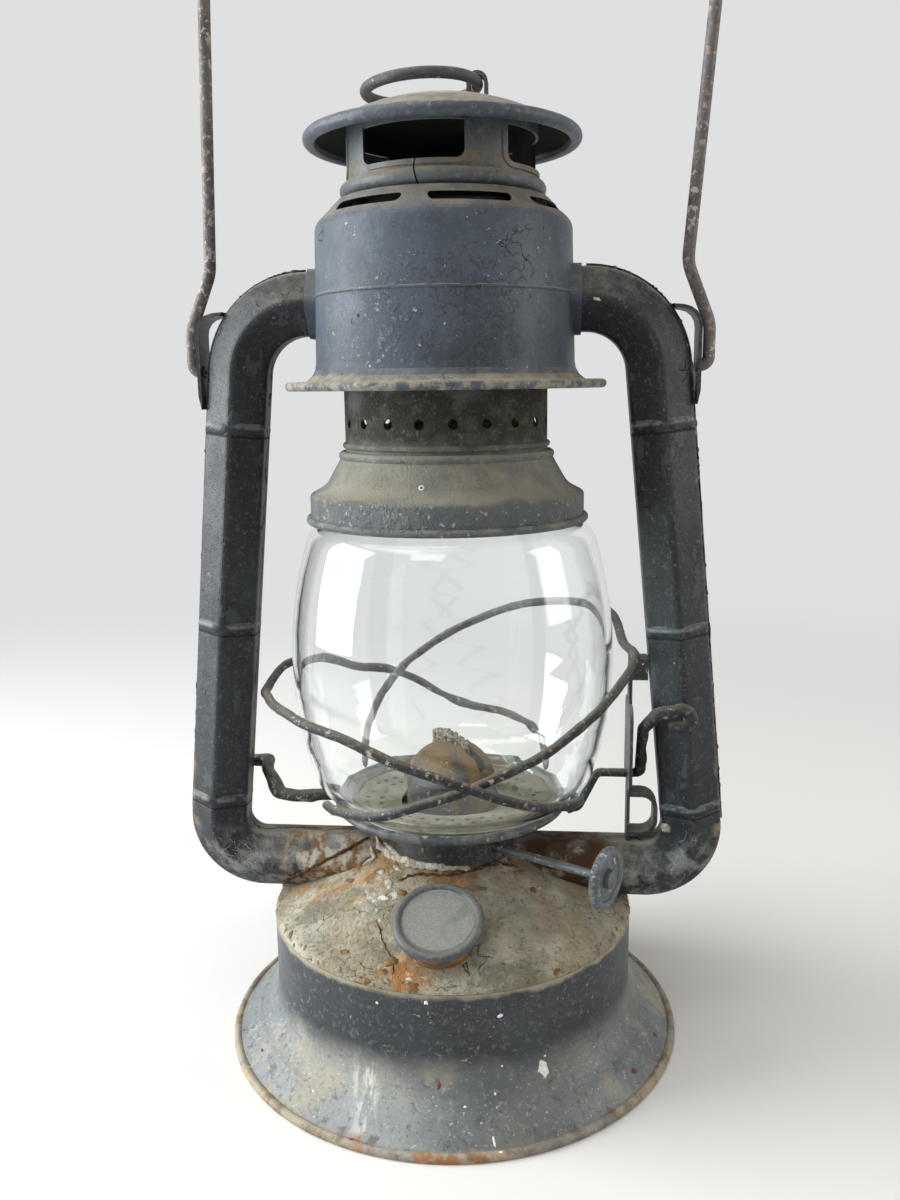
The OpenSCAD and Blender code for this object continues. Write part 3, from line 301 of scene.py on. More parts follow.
hoodLook = dict(coat="#4b535d", shade="#3d444d", pale="#7b8287", rough=0.42, gloss=0.24, mottle=0.18,
    edge=0.35, dust=0.9, dustLow=0.3, sootAndShade=True, rubbed=(-0.026, -0.036, 0.262),
    lifted=(0.006, -0.044, 0.268), crazed=(0.026, -0.036, 0.285), front=(-0.03, -0.02),
    brim=(0.2462, 0.249))


def hoodPaint():
    f = paint("hoodPaint", hoodLook)
    f.coats(f.near(hoodLook["rubbed"], 0.006, 0.026, 0.022),  # low on the left
        ((0.585, 0.62, 640, 6, 0.72), 1, "#8d9192", 0.65, -0.06))
    f.coats(f.near(hoodLook["lifted"], 0.006, 0.03, 0.026),  # in the middle
        ((0.545, 0.57, 300, 5, 0.62), 1, "#4a4f55", 0.4, 0.45))
    f.coats(f.seams(230, 0.01, 120, 0.03) * f.near(hoodLook["crazed"], 0.004, 0.012, 0.008),
        ((0.47, 0.54, 150, 3, 0.55, 3), 1, "#15161a", 0.6, -0.15))  # high on the right
    f.coats(f.fall(f.y, *hoodLook["front"]),
        ((0.665, 0.685, 420, 5, 0.6, 6), 1, "#a2a5a3", 0.7, -0.04))
    f.coats(f.fall(f.ragged(f.z, 0.005, 160, 5), *hoodLook["brim"]),
        ((0.42, 0.6, 260, 6, 0.7), 0.8, "#98927f", 0.9, 0.05))
    return f.close(1.8)


tubeLook = dict(coat="#262a2e", shade="#1b1e21", wornAndHighlight="#7d8285", pale="#55595c", dustTone="#979282",
    gloss=0.3, crack=0.62, chip=0.68, dust=0.8, split=(-0.0004, 0.0004, 0.0003), low=(0.07, 0.086),
    inner=(0.05, 0.072), right=(0.005, 0.02), splay=0.1, ribs=(0.0815, 0.1495, 0.2227),
    ribHighlightAt=(0.0002, 0.0015), ribShadeLineAt=(-0.003, -0.0022), seam=(-0.0012, 0.0012, 0.0006),
    seamFrom=(0.08, 0.09), rimFrom=(0.096, 0.1), rimTo=(0.115, 0.15))


def tubePaint():
    f = paint("tubePaint", tubeLook)
    f.coats(f.band(f.ragged(f.y, 0.016, 75, 5, 0.6), *tubeLook["split"]),
        ((0.42, 0.5, 55, 4, 0.55, 2), 1, "#070707", 0.9, -0.3))  # cracks that follow the seam
    f.coats(1, ((0.6, 0.625, 130, 5, 0.6, 3, (1, 1, 0.5)), 0.7, "#3d4145", 0.45, 0.16))
    low = f.fall(f.ragged(f.z, 0.03, 70, 4), *tubeLook["low"])
    inner = low * f.fall(f.ragged(f.around(), 0.034, 60, 4), *tubeLook["inner"])
    right = inner * f.step(f.ragged(f.x, 0.02, 50, 4), *tubeLook["right"])
    f.coats(low, ((0.44, 0.62, 130, 6, 0.65), 0.7, "#8b8f8e", 0.8, 0.12))
    f.coats(inner,
        ((0.4, 0.56, 95, 5, 0.6, 2), 1, "#7d5c38", 0.92, 0.12),
        ((0.46, 0.6, 210, 5, 0.6, 4), 1, "#aaa595", 0.92, 0.1),
        ((0.64, 0.69, 260, 4, 0.6, 5), 1, "#8c6a42", 0.92, 0.08))
    f.coats(right, ((0.34, 0.52, 80, 5, 0.6, 8), 1, "#4a3220", 0.93, 0.1))  # browner on the right
    reach = f.add("Math", {"operation": "ABSOLUTE"}, {0: f.x})
    run = f.z - reach * tubeLook["splay"]  # height along the splayed tube
    # painted highlight just above each rib, painted shade line just below it
    for rib in tubeLook["ribs"]:
        lit = f.band(run, *[rib + edge for edge in tubeLook["ribHighlightAt"]], 0.0005)
        f.coats(lit, ((0.38, 0.56, 200, 4, 0.55, 21), 0.6, "#73797c", 0.42))
        ribShadeLine = f.band(run, *[rib + edge for edge in tubeLook["ribShadeLineAt"]], 0.0003)
        f.cover(ribShadeLine * 0.85, "#08080a", 0.8, -0.1)
    seam = f.band(f.ragged(f.y, 0.003, 160, 5), *tubeLook["seam"]) * f.step(reach, *tubeLook["seamFrom"])
    seamTone = f.tones("#7b6a52", "#b5b0a4", 0.46, 0.56, 330, 4, shift=2)
    f.coats(seam, ((0.46, 0.54, 240, 5, 0.6, 0, (1, 1, 0.5)), 1, seamTone, 0.9, 0.08))
    f.coats(f.step(f.around(), *tubeLook["rimFrom"]) * f.fall(f.z, *tubeLook["rimTo"]),
        ((0.48, 0.6, 210, 5), 1, "#85745a", 0.9, 0.05))
    return f.close(2.0)


capLook = dict(coat="#454c54", shade="#373d44", pale="#868c90", dustTone="#a19a88", dust=0.8, dustLow=0.55,
    dustHigh=1.1, grain=0.08, dome=(0.02, 0.036), domeFrom=(0.3325, 0.3345), under=(0.0425, 0.0435))


def capPaint():
    f = paint("capPaint", capLook)
    dome = f.fall(f.ragged(f.around(), 0.022, 80, 4), *capLook["dome"]) * f.step(f.z, *capLook["domeFrom"])
    f.coats(dome, ((0.3, 0.55, 240, 6, 0.7), 1, "#b3a993", 0.92, 0.05))
    under = f.fall(f.up, -0.6, -0.25) * f.fall(f.around(), *capLook["under"])
    f.cover(under, "#0d0c0b", 0.95)  # soot and painted shade on the faces below
    return f.close(1.8)


ventLook = dict(coat="#565a5c", shade="#45494b", chip=0.72, dust=0.9, dustLow=0.2, dustTone="#a09a8a",
    sootAndShade=True, grime=(0.31, 0.3165, 0.002))


def ventPaint():
    f = paint("ventPaint", ventLook)
    f.coats(f.band(f.z, *ventLook["grime"]) * (1 - f.inside()),
        ((0.4, 0.62, 150, 5, 0.65), 0.7, "#7a6a4e", 0.85, 0.05))
    return f.close(1.6)


bellLook = dict(coat="#676964", shade="#50534f", pale="#a5a395", rough=0.62, dustTone="#908b7a", dust=0.85,
    dustLow=0.0, dustHigh=0.85, grain=0.25, sootAndShade=True, wall=(0.2215, 0.2275), skirt=(0.2062, 0.2085))


def bellPaint():
    f = paint("bellPaint", bellLook)
    wall = f.step(f.ragged(f.z, 0.008, 110, 5), *bellLook["wall"])
    f.cover(wall, f.tones("#2f2d26", "#45433a", 0.46, 0.62, 160, 5), 0.85)
    out = 1 - f.inside()
    f.coats(out,
        ((0.56, 0.7, 900, 4, 0.7), 0.3, "#a7a08b", 0.9, 0.05),
        ((0.52, 0.68, 55, 4), 0.6, "#5a5f62", 0.6))
    skirt = f.fall(f.ragged(f.z, 0.002, 200, 4), *bellLook["skirt"])
    f.coats(out * skirt,
        ((0.36, 0.58, 140, 5, 0.6), 0.9, "#4d5357", 0.45),
        ((0.62, 0.66, 520, 5, 0.6, 2), 1, "#98988f", 0.7))
    f.relief(skirt * f.noise(420, 5, 0.65), 0.55)
    return f.close(2.0)


fountLook = dict(coat="#2a3035", shade="#20252a", pale="#70767a", dustTone="#9b9a90", dust=0.8,
    dustLow=0.15, flecks=0.85, chip=0.71, rough=0.36, edge=0.0, gloss=0.5, skirt=(0.013, 0.0275),
    front=(-0.05, -0.04), paintedShadeZone=(0.01, 0.046, 0.01), paintedHighlightZone=(-0.034, -0.004, 0.01),
    rim=(0.0822, 0.0842), rusty=(0.006, -0.0845, 0.001), stainAndReflection=(-0.0275, -0.0205, 0.0025),
    streakFront=(-0.055, -0.05), stainAndReflectionTone=(0.0025, 0.006), left=(-0.066, -0.042, 0.01),
    shoulder=(0.0462, 0.0485))


def fountPaint():
    f = paint("fountPaint", fountLook)
    skirt = f.fall(f.ragged(f.z, 0.006, 60, 4), *fountLook["skirt"])
    f.cover(skirt * 0.72, "#696f72", 0.38)
    f.coats(skirt,
        ((0.46, 0.6, 21, 4, 0.55, 2), 0.65, "#8a8575", 0.8),
        ((0.5, 0.62, 26, 5, 0.62, 5), 0.75, "#43494d", 0.34),
        ((0.4, 0.66, 45, 5, 0.6), 0.8, "#5b6265", 0.34))
    # painted shade on the front of the flare right of the middle, painted highlight left of the middle
    front = skirt * f.fall(f.y, *fountLook["front"])
    shadeBand = f.band(f.ragged(f.x, 0.02, 45, 4, shift=15), *fountLook["paintedShadeZone"])
    f.cover(front * shadeBand * 0.55, "#43494d", 0.34)
    highlightBand = f.band(f.ragged(f.x, 0.02, 45, 4, shift=16), *fountLook["paintedHighlightZone"])
    f.cover(front * highlightBand * 0.4, "#9a9f9d", 0.36)
    f.coats(skirt,
        ((0.52, 0.66, 33, 4, 0.6, 7), 0.7, "#9b9686", 0.85),
        ((0.56, 0.66, 190, 6, 0.7, 3), 0.8, "#3f4345", 0.5, -0.05),
        ((0.55, 0.68, 480, 6, 0.72, 11), 0.45, "#a9a99f", 0.7, 0.03),
        ((0.53, 0.66, 560, 6, 0.72, 13), 0.6, "#43474a", 0.6, -0.03),
        ((0.64, 0.69, 700, 4, 0.6, 9), 0.7, "#c4c0b4", 0.8))
    rim = f.step(f.ragged(f.around(), 0.0035, 110, 5), *fountLook["rim"])
    rimTone = f.tones("#a3977f", "#7a6247", 0.44, 0.6, 150, 6, 0.65)
    f.cover(rim * (f.blot(0.36, 0.6, 38, 5, 0.6, 20) * 0.6 + 0.3), rimTone, 0.85, 0.03)
    f.coats(rim * f.near(fountLook["rusty"], 0.006, 0.022, 0.012),
        ((0.48, 0.58, 200, 5), 1, "#94653f", 0.9))
    # a vertical streak on the front of the flare, rust low down and whitish higher up: a stain that also
    # serves as a painted reflection
    stainAndReflection = f.band(f.ragged(f.x, 0.008, 70, 4), *fountLook["stainAndReflection"])
    stainAndReflection = stainAndReflection * f.fall(f.y, *fountLook["streakFront"]) * skirt
    upward = f.step(f.ragged(f.z, 0.008, 90, 4, shift=1), *fountLook["stainAndReflectionTone"])
    stainAndReflectionTone = f.mix(tint("#a0683c"), tint("#cfccc2"), upward)
    f.coats(stainAndReflection, ((0.44, 0.58, 300, 6, 0.65, 0, (1, 0.25, 0.25)), 0.8, stainAndReflectionTone, 0.75, 0.05))
    f.coats(f.near(fountLook["left"], 0.004, 0.024, 0.018),
        ((0.6, 0.65, 240, 5, 0.6, 8), 1, "#b09a70", 0.85, 0.04))
    shoulder = f.step(f.ragged(f.z, 0.005, 120, 5), *fountLook["shoulder"])
    f.cover(shoulder * 0.9, "#958e7c", 0.9, 0.06)
    return f.close(1.8)


topLook = dict(coat="#ada692", rough=0.92, right=(0.014, 0.036), collar=(0.024, 0.038),
    run=(-0.034, -0.016, 0.067), filler=(-0.011, -0.0635, 0.0545), join=(-0.05, -0.012, 0.0585),
    chalky=(-0.02, -0.034, 0.066))


def topCrust():
    f = Finish("topCrust", topLook["coat"], topLook["rough"])
    f.coats(1,
        ((0.4, 0.64, 65, 5, 0.6), 1, "#928e7e", 0.9),
        ((0.46, 0.62, 30, 4, 0.6, 3), 0.7, "#84785e", 0.92),
        ((0.52, 0.64, 42, 6, 0.66, 14), 0.7, "#646253", 0.9, -0.08),
        ((0.54, 0.66, 620, 6, 0.75), 0.6, "#c2bba7", 0.95, 0.1),
        ((0.53, 0.64, 560, 6, 0.75, 7), 0.7, "#5c5546", 0.95, -0.1))
    f.relief(f.noise(190, 6, 0.65), 0.9).relief(f.noise(800, 4, 0.7), 0.35)
    f.coats(f.step(f.ragged(f.x, 0.03, 40, 4), *topLook["right"]),
        ((0.46, 0.62, 70, 5, 0.62, 5), 0.5, "#8a7454", 0.93, 0.05))
    collar = f.fall(f.ragged(f.around(), 0.026, 75, 5), *topLook["collar"])
    f.coats(collar,
        ((0.42, 0.58, 110, 5, 0.6, 9), 1, "#84603a", 0.93, 0.12),
        ((0.6, 0.67, 180, 5, 0.6, 12), 1, "#ab7c42", 0.93, 0.08))
    runTone = f.tones("#8f5f31", "#b58a4e", 0.46, 0.6, 210, 5, shift=18)
    f.coats(f.near(topLook["run"], 0.004, 0.022, 0.02),  # rust that ran down from the collar
        ((0.4, 0.54, 105, 6, 0.62, 17), 0.85, runTone, 0.93, 0.08))
    f.coats(f.near(topLook["filler"], 0.003, 0.013, 0.01),
        ((0.38, 0.52, 140, 5, 0.6, 2), 1, "#9a6a3a", 0.93, 0.08),
        ((0.55, 0.61, 190, 5, 0.6, 6), 1, "#c3ab85", 0.9, 0.06))
    f.coats(f.near(topLook["join"], 0.004, 0.02, 0.018),
        ((0.46, 0.6, 120, 5, 0.6, 4), 1, "#96774c", 0.92, 0.06))
    f.coats(f.near(topLook["chalky"], 0.003, 0.016, 0.014),
        ((0.54, 0.59, 260, 6, 0.68, 1), 1, "#dcd8ca", 0.9, 0.15))
    f.coats(f.seams(95, 0.01, 120), ((0.6, 0.66, 60, 3), 1, "#2b241b", 0.95, -0.3))
    return f.close(1.8)


collarLook = dict(coat="#353636", shade="#282826", dust=0.6, chip=0.72, flecks=0.6, edge=0.3, sootAndShade=True,
    foot=(0.0715, 0.075))


def collarPaint():
    f = paint("collarPaint", collarLook)
    f.coats(f.fall(f.ragged(f.z, 0.007, 150, 5), *collarLook["foot"]),
        ((0.4, 0.54, 160, 5, 0.6), 1, "#7a6040", 0.92, 0.08))
    return f.close(1.6)


wireCoat = dict(coat="#222426", shade="#191a1b", bare="#9c938a", rust="#8a6350", rough=0.44, chip=0.6,
    chipScale=380, dust=0.35, crack=0.64, crackScale=190, edge=0.0, grain=0.08)
wirePaints = {  # what each differs in
    "wirePaint": {},
    "bailPaint": dict(coat="#605b58", shade="#474341", bare="#a8a09a", rust="#8a766b", pale="#aaa29c",
                      chip=0.55, dust=0.4),
    "strapPaint": dict(coat="#2b2e31", chip=0.67, edge=0.5, dust=0.6),
    "ringPaint": dict(coat="#454748", shade="#353738", rough=0.55, chip=0.67, dust=0.6),
}


def wirePaint(name, changes):
    f = paint(name, {**wireCoat, **changes})
    f.coats(1, ((0.7, 0.74, 700, 3, 0.5), 0.9, "#bdb9af", 0.6))
    return f.close(2.0)


plateLook = dict(coat="#84806f", rough=0.78, rim=(0.0408, 0.0414), under=(0.0893, 0.0902))


def plateCrust():
    f = Finish("plateCrust", plateLook["coat"], plateLook["rough"])
    f.coats(1,
        ((0.42, 0.62, 70, 5), 1, "#6d6756", 0.8),
        ((0.57, 0.66, 150, 5, 0.65, 2), 0.8, "#4f4a3d", 0.7),
        ((0.58, 0.68, 90, 4, 0.6, 6), 0.7, "#7d5b43", 0.85))
    f.relief(f.noise(260, 5, 0.6), 0.16).relief(f.noise(1200, 3), 0.05)
    rim = f.step(f.around(), *plateLook["rim"])
    f.cover(rim, f.tones("#34383d", "#5a5c5a", 0.45, 0.62, 130, 5), 0.45)
    f.coats(rim, ((0.6, 0.64, 300, 5), 1, "#8d8573", 0.85, 0.05))
    f.cover(rim * f.fall(f.z, *plateLook["under"]) * 0.8, "#6b573c", 0.9, 0.06)
    return f.close(1.5)


fillerLook = dict(coat="#454b50", shade="#373c40", dust=0.35, crack=0.64, rough=0.44,
    middle=(0, -0.0535, 0.068), disc=(0.0118, 0.0126, 0.0012, 300), under=(0.0595, 0.063))


def fillerCapPaint():
    f = paint("fillerCapPaint", fillerLook)
    disc = f.near(fillerLook["middle"], *fillerLook["disc"]) * f.step(f.up, 0.7, 0.82)
    f.cover(disc, "#7f817b", 0.9, -0.05)
    f.coats(disc,
        ((0.5, 0.62, 1300, 4, 0.7), 0.7, "#9c9a90", 0.92, 0.05),
        ((0.54, 0.66, 90, 4), 0.6, "#6d7070", 0.85))
    f.coats(f.fall(f.up, -0.5, 0.1) * f.fall(f.z, *fillerLook["under"]),
        ((0.5, 0.62, 140, 4), 1, "#8a5b2c", 0.9, 0.05))
    return f.close(1.6)


coneLook = dict(coat="#6f5a36", rough=0.7, metal=0.45, facing=(-0.5, -0.87), side=(0.004, 0.01),
    high=(0.104, 0.11))


def coneBrass():
    f = Finish("coneBrass", coneLook["coat"], coneLook["rough"])
    f.metal = coneLook["metal"]
    f.coats(1, ((0.44, 0.58, 95, 5, 0.6), 1, "#57492f", 0.72))
    facing = f.x * coneLook["facing"][0] + f.y * coneLook["facing"][1]
    f.coats(f.step(f.ragged(facing, 0.012, 90, 4), *coneLook["side"]),
        ((0.34, 0.46, 120, 5, 0.6, 3), 1, "#2f3132", 0.62, 0, 0.3))
    f.coats(f.step(f.ragged(f.z, 0.008, 130, 4), *coneLook["high"]),
        ((0.4, 0.6, 210, 5, 0.65, 5), 1, "#6d5330", 0.85, 0.06, 0.1))
    f.coats(1, ((0.64, 0.7, 620, 4, 0.6), 1, "#a28f63", 0.6, 0.04))
    f.relief(f.noise(330, 5, 0.6), 0.3)
    return f.close(1.5)


clothLook = dict(coat="#6d5f49", rough=0.95, threads=320, char=(0.106, 0.1115))


def wickCloth():
    f = Finish("wickCloth", clothLook["coat"], clothLook["rough"])
    weave = f.add("TexWave", {"bands_direction": "Z"},
                  {"Vector": f.at, "Scale": clothLook["threads"], "Distortion": 1.5, "Detail": 2})
    f.cover(f.step(weave, 0.3, 0.7) * 0.5, "#54493a", 0.95, 0.06)
    char = f.step(f.ragged(f.z, 0.004, 500, 3), *clothLook["char"])
    f.cover(char, "#2b2520", 0.97)
    f.coats(char,
        ((0.54, 0.62, 900, 4, 0.6), 1, "#8b8271", 0.97, 0.08),
        ((0.58, 0.63, 700, 4, 0.6, 4), 1, "#120f0d", 0.97, -0.08))
    f.relief(f.noise(1500, 4, 0.7), 0.12)
    return f.close(1.4)


glassLook = dict(coat="#fcfefd", ior=1.47, shadow=(0.93, 0.96, 0.95, 1), haze=0.015, smear=0.03)


def clearGlass():
    f = Finish("clearGlass", glassLook["coat"], 0.0)
    haze = f.blot(0.5, 0.72, 26, 5, 0.6) * glassLook["haze"]
    f.rough = haze + f.blot(0.62, 0.7, 220, 4, 0.6) * glassLook["smear"]
    f.shader.inputs["IOR"].default_value = glassLook["ior"]
    f.shader.inputs["Transmission Weight"].default_value = 1.0
    f.close()
    shadow = Flow(f, f.add("LightPath").socket.node.outputs["Is Shadow Ray"])
    clear = f.add("BsdfTransparent", sockets={"Color": glassLook["shadow"]})
    f.blend(shadow, f.plain, clear, "Material Output")
    return f.material


bareLook = {  # colour, roughness, metal, bump depth, bump noise and rise, coats
    "knobSteel": ("#5d6367", 0.48, 0.35, 1.6, (520, 4), 0.1, [
        ((0.44, 0.62, 110, 5), 1, "#484c4f", 0.55, 0, 0.1),
        ((0.58, 0.64, 360, 5, 0.65), 1, "#a0a3a4", 0.5, 0.03),
        ((0.6, 0.68, 190, 4, 0.55, 4), 0.8, "#6e6455", 0.85, 0.05, 0.0)]),
    "neckRust": ("#8a5f30", 0.85, 0.15, 1.5, (420, 5), 0.12, [
        ((0.45, 0.6, 120, 5), 1, "#6b4322", 0.9, 0.05),
        ((0.58, 0.64, 230, 4, 0.55, 3), 1, "#c09a55", 0.8, 0.05)]),
    "plainBrass": ("#75633f", 0.55, 0.6, 1.2, (420, 4), 0.06, [
        ((0.42, 0.6, 85, 5), 1, "#54482f", 0.65, 0, 0.35),
        ((0.6, 0.66, 300, 4, 0.55, 2), 1, "#4f5a45", 0.8, 0.03, 0.0)]),
    # near black: soot, darkened further as painted shade for the chimney tube and baffle inside the hood
    "sootAndShade": ("#0f0d0b", 0.92, 0.0, 1.3, (700, 4), 0.1, [
        ((0.42, 0.62, 80, 5), 1, "#191511", 0.93), ((0.6, 0.68, 420, 4), 0.4, "#2e281f", 0.95, 0.04)]),
    # dark steel, darkened further as painted shade inside the hood
    "springSteelAndShade": ("#2f2d2a", 0.6, 0.4, 1.2, (600, 4), 0.05, [
        ((0.46, 0.6, 140, 5), 1, "#3a2d22", 0.8, 0.03, 0.1)]),
    "gasketLeather": ("#4b3722", 0.85, 0.0, 1.3, (900, 5, 0.65), 0.1, [
        ((0.45, 0.6, 240, 5), 1, "#332617", 0.9)]),
}
smallLook = {  # base, second tone, roughness, scale, grain
    "whitePaint": ("#e9e8e2", "#d6d4cb", 0.7, 500, 0.1),
    "mineralCrust": ("#c4c0b2", "#948a76", 0.95, 520, 0.45),
    "seamRust": ("#3d2418", "#5c4029", 0.95, 420, 0.4), "rustGrit": ("#6b4a2c", "#8d7048", 0.95, 380, 0.45),
    "crustGrit": ("#77705f", "#938a75", 0.95, 420, 0.45), "leafFlake": ("#6f6b5c", "#545246", 0.9, 300, 0.2),
    "paintFlake": ("#24272a", "#4f5254", 0.5, 600, 0.15), "lint": ("#9d927d", "#c2b9a5", 0.95, 300, 0.1),
    "redRust": ("#7a3f2a", "#5b3224", 0.9, 450, 0.2), "charBeads": ("#988d79", "#4a4136", 0.97, 700, 0.3),
}
for name, (base, other, rough, scale, grain) in smallLook.items():
    spread = [((0.42, 0.62, scale, 5, 0.6), 1, other, rough + 0.05)]
    bareLook[name] = (base, rough, 0.0, 1.3, (scale * 3, 4), grain, spread)


def bareFinish(name, colour, rough, metal, depth, grain, rise, rows):
    f = Finish(name, colour, rough)
    f.metal = metal
    f.coats(1, *rows).relief(f.noise(*grain), rise)
    return f.close(depth)


makers = (hoodPaint, tubePaint, capPaint, ventPaint, bellPaint, fountPaint, topCrust, collarPaint, plateCrust,
          fillerCapPaint, coneBrass, wickCloth, clearGlass)
laid = [make() for make in makers]
laid += [wirePaint(name, changes) for name, changes in wirePaints.items()]
laid += [bareFinish(name, *look) for name, look in bareLook.items()]
finishes = {material.name: material for material in laid}
wornBy = {
    "hoodPaint": ["hood"], "capPaint": ["chimney_cap"], "ventPaint": ["vent_collar"],
    "bellPaint": ["chimney_bell"], "collarPaint": ["burner_collar"],
    "tubePaint": ["left_tube_front", "left_tube_back", "right_tube_front", "right_tube_back"],
    "fountPaint": ["fount_shell", "fount_bottom"], "topCrust": ["fount_top"],
    "wirePaint": ["left_guide", "lift_crank", "guard_wire_a", "guard_wire_b"], "bailPaint": ["bail"],
    "strapPaint": ["left_ear", "right_ear", "lift_bracket"], "ringPaint": ["lift_ring", "ring_staple"],
    "plateCrust": ["globe_plate"], "fillerCapPaint": ["filler_cap"], "knobSteel": ["wick_knob", "wick_shaft"],
    "neckRust": ["filler_neck"], "coneBrass": ["burner_cone"],
    "plainBrass": ["burner_body", "wick_tube", "burner_gallery", "wick_wheels"],
    "sootAndShade": ["chimney_tube", "hood_baffle"], "springSteelAndShade": ["chimney_spring"],
    "gasketLeather": ["cap_gasket"], "wickCloth": ["wick"], "clearGlass": ["globe"],
}
for finish, names in wornBy.items():
    for name in names:
        nodes[name].data.materials.clear()
        nodes[name].data.materials.append(finishes[finish])
print("finishes laid:", len(finishes))


def piece(name, mesh, finish, body, replaced=None):
    mesh.materials.append(finishes[finish])
    mesh.polygons.foreach_set("use_smooth", [True] * len(mesh.polygons))
    made = placed(name, mesh)
    if body:  # without a body the piece is left unattached
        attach(made, body)
    if replaced:
        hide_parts(replaced)
    return made


def solid(name, verts, faces, finish, body="frame", replaced=None):
    mesh = bpy.data.meshes.new(name)
    mesh.from_pydata([tuple(v) for v in verts], [], faces)
    mesh.validate()
    mesh.update()
    return piece(name, mesh, finish, body, replaced)


def formed(form, name):  # a mesh from a form that is done with
    mesh = bpy.data.meshes.new(name)
    form.to_mesh(mesh)
    form.free()
    return mesh


def skin(start, rows, sides, faces):  # quads between rings of points that follow each other
    for i in range(rows):
        for k in range(sides):
            a, b = start + i * sides + k, start + i * sides + (k + 1) % sides
            faces.append((a, b, b + sides, a + sides))


def tubeAlong(points, radius, sides, verts, faces):  # radius is a number or one per point
    start, last = len(verts), len(points) - 1
    side = None
    for i, p in enumerate(points):
        heading = (points[min(i + 1, last)] - points[max(i - 1, 0)]).normalized()
        side = heading.orthogonal() if side is None else (side - heading * side.dot(heading))
        side.normalize()
        lift = heading.cross(side)
        r = radius[i] if isinstance(radius, list) else radius
        for k in range(sides):
            a = 2 * pi * k / sides
            verts.append(p + side * (r * cos(a)) + lift * (r * sin(a)))
    skin(start, last, sides, faces)
    faces.append([start + k for k in reversed(range(sides))])
    faces.append([start + last * sides + k for k in range(sides)])


carriers = {}


def surfaceOf(node):
    if node not in carriers:
        mesh = nodes[node].data
        points, faces = [v.co for v in mesh.vertices], [p.vertices for p in mesh.polygons]
        carriers[node] = BVHTree.FromPolygons(points, faces)
    return carriers[node]


def onto(names, start, way):  # where a ray first meets one of the nodes
    best = (None, None, None)
    for name in names:
        place, normal, _, gap = surfaceOf(name).ray_cast(start, way)
        if place is not None and (best[0] is None or gap < (best[0] - start).length):
            best = (place, normal if normal.dot(way) < 0 else -normal, name)
    return best


def looked(names, u, v):  # the same for the sight line through a point of the frame
    right, up, forward = sight()
    wide, tall = eye["frame"]
    way = forward + right * ((u - wide / 2) / eye["focal"]) - up * ((v - tall / 2) / eye["focal"])
    return onto(names, Vector(eye["place"]), way.normalized())


dabLook = dict(wobble=(0.72, 1.2), round=2.2, sunk=0.06 * mm)


def dab(node, place, normal, size, rand, verts, faces, turn=0.0, rings=3, sides=14):
    # a lump that lies on a surface, its edge a little below it; size: width, height, thickness in mm
    width, height, thick = (s * mm for s in size)
    side = normal.orthogonal().normalized()
    if abs(normal.z) < 0.98:
        side = Vector((0, 0, 1)).cross(normal).normalized()
    over = normal.cross(side)
    side, over = (side * cos(turn) + over * sin(turn), over * cos(turn) - side * sin(turn))
    wobble = [rand.uniform(*dabLook["wobble"]) for _ in range(sides)]
    start, tree = len(verts), surfaceOf(node)
    for j in range(rings + 1):
        share = 1 - j / rings
        for k in range(sides if j < rings else 1):
            a = 2 * pi * k / sides
            reach = share * (wobble[k] if j < rings else 0)
            p = place + side * (width / 2 * reach * cos(a)) + over * (height / 2 * reach * sin(a))
            foot = tree.find_nearest(p)[0] or p
            verts.append(foot + normal * (thick * (1 - share ** dabLook["round"]) - dabLook["sunk"] * share))
    skin(start, rings - 1, sides, faces)
    inner, tip = start + (rings - 1) * sides, start + rings * sides
    for k in range(sides):
        faces.append((inner + k, inner + (k + 1) % sides, tip))
    faces.append([start + k for k in reversed(range(sides))])


# guard wires: the CAD wires, round, with lumpy paint; left guide and crank handle: under thick old paint
roundLook = dict(levels=2, merge=1e-5, join=3.2, grow=0.17 * mm, lump=0.16 * mm, lumpScale=260,
    fine=0.06 * mm, fineScale=900, wave=0.7 * mm, waveScale=55)
guideLook = dict(cell=0.35 * mm, smooth=8, grow=0.75 * mm, lump=0.45 * mm, lumpScale=230, fine=0.0,
    fineScale=900, wave=1.5 * mm, waveScale=75)
crankLook = {**guideLook, "wave": 0.4 * mm}
taper, waveSeed = 3 * mm, 1795655056
noise.seed_set(waveSeed)  # noise_vector would start from the clock


def lumpy(made, look, seed, start=-1.0):  # applies the modifiers, then swells the wire past x = start
    bpy.context.view_layer.update()
    mesh = bpy.data.meshes.new_from_object(made.evaluated_get(bpy.context.evaluated_depsgraph_get()))
    made.modifiers.clear()
    shift = Vector((seed, seed, seed))
    normals = [v.normal.copy() for v in mesh.vertices]
    for v, n in zip(mesh.vertices, normals):
        lump = noise.noise(v.co * look["lumpScale"] + shift) * look["lump"]
        fine = noise.noise(v.co * look["fineScale"] + shift) * look["fine"]
        wave = noise.noise_vector(v.co * look["waveScale"] + shift) * look["wave"]
        v.co += (n * (look["grow"] + lump + fine) + wave) * max(0, min(1, (v.co.x - start) / taper))
    mesh.polygons.foreach_set("use_smooth", [True] * len(mesh.polygons))
    made.data = mesh


def roundWire(node, body, seed):
    form = bmesh.new()
    form.from_mesh(nodes[node].data)
    bmesh.ops.remove_doubles(form, verts=form.verts, dist=roundLook["merge"])
    bmesh.ops.join_triangles(form, faces=form.faces, angle_face_threshold=roundLook["join"],
                             angle_shape_threshold=roundLook["join"])
    made = piece(node + "_round", formed(form, node + "_round"), "wirePaint", body, node)
    soft = made.modifiers.new("round", "SUBSURF")
    soft.levels = soft.render_levels = roundLook["levels"]
    lumpy(made, roundLook, seed)


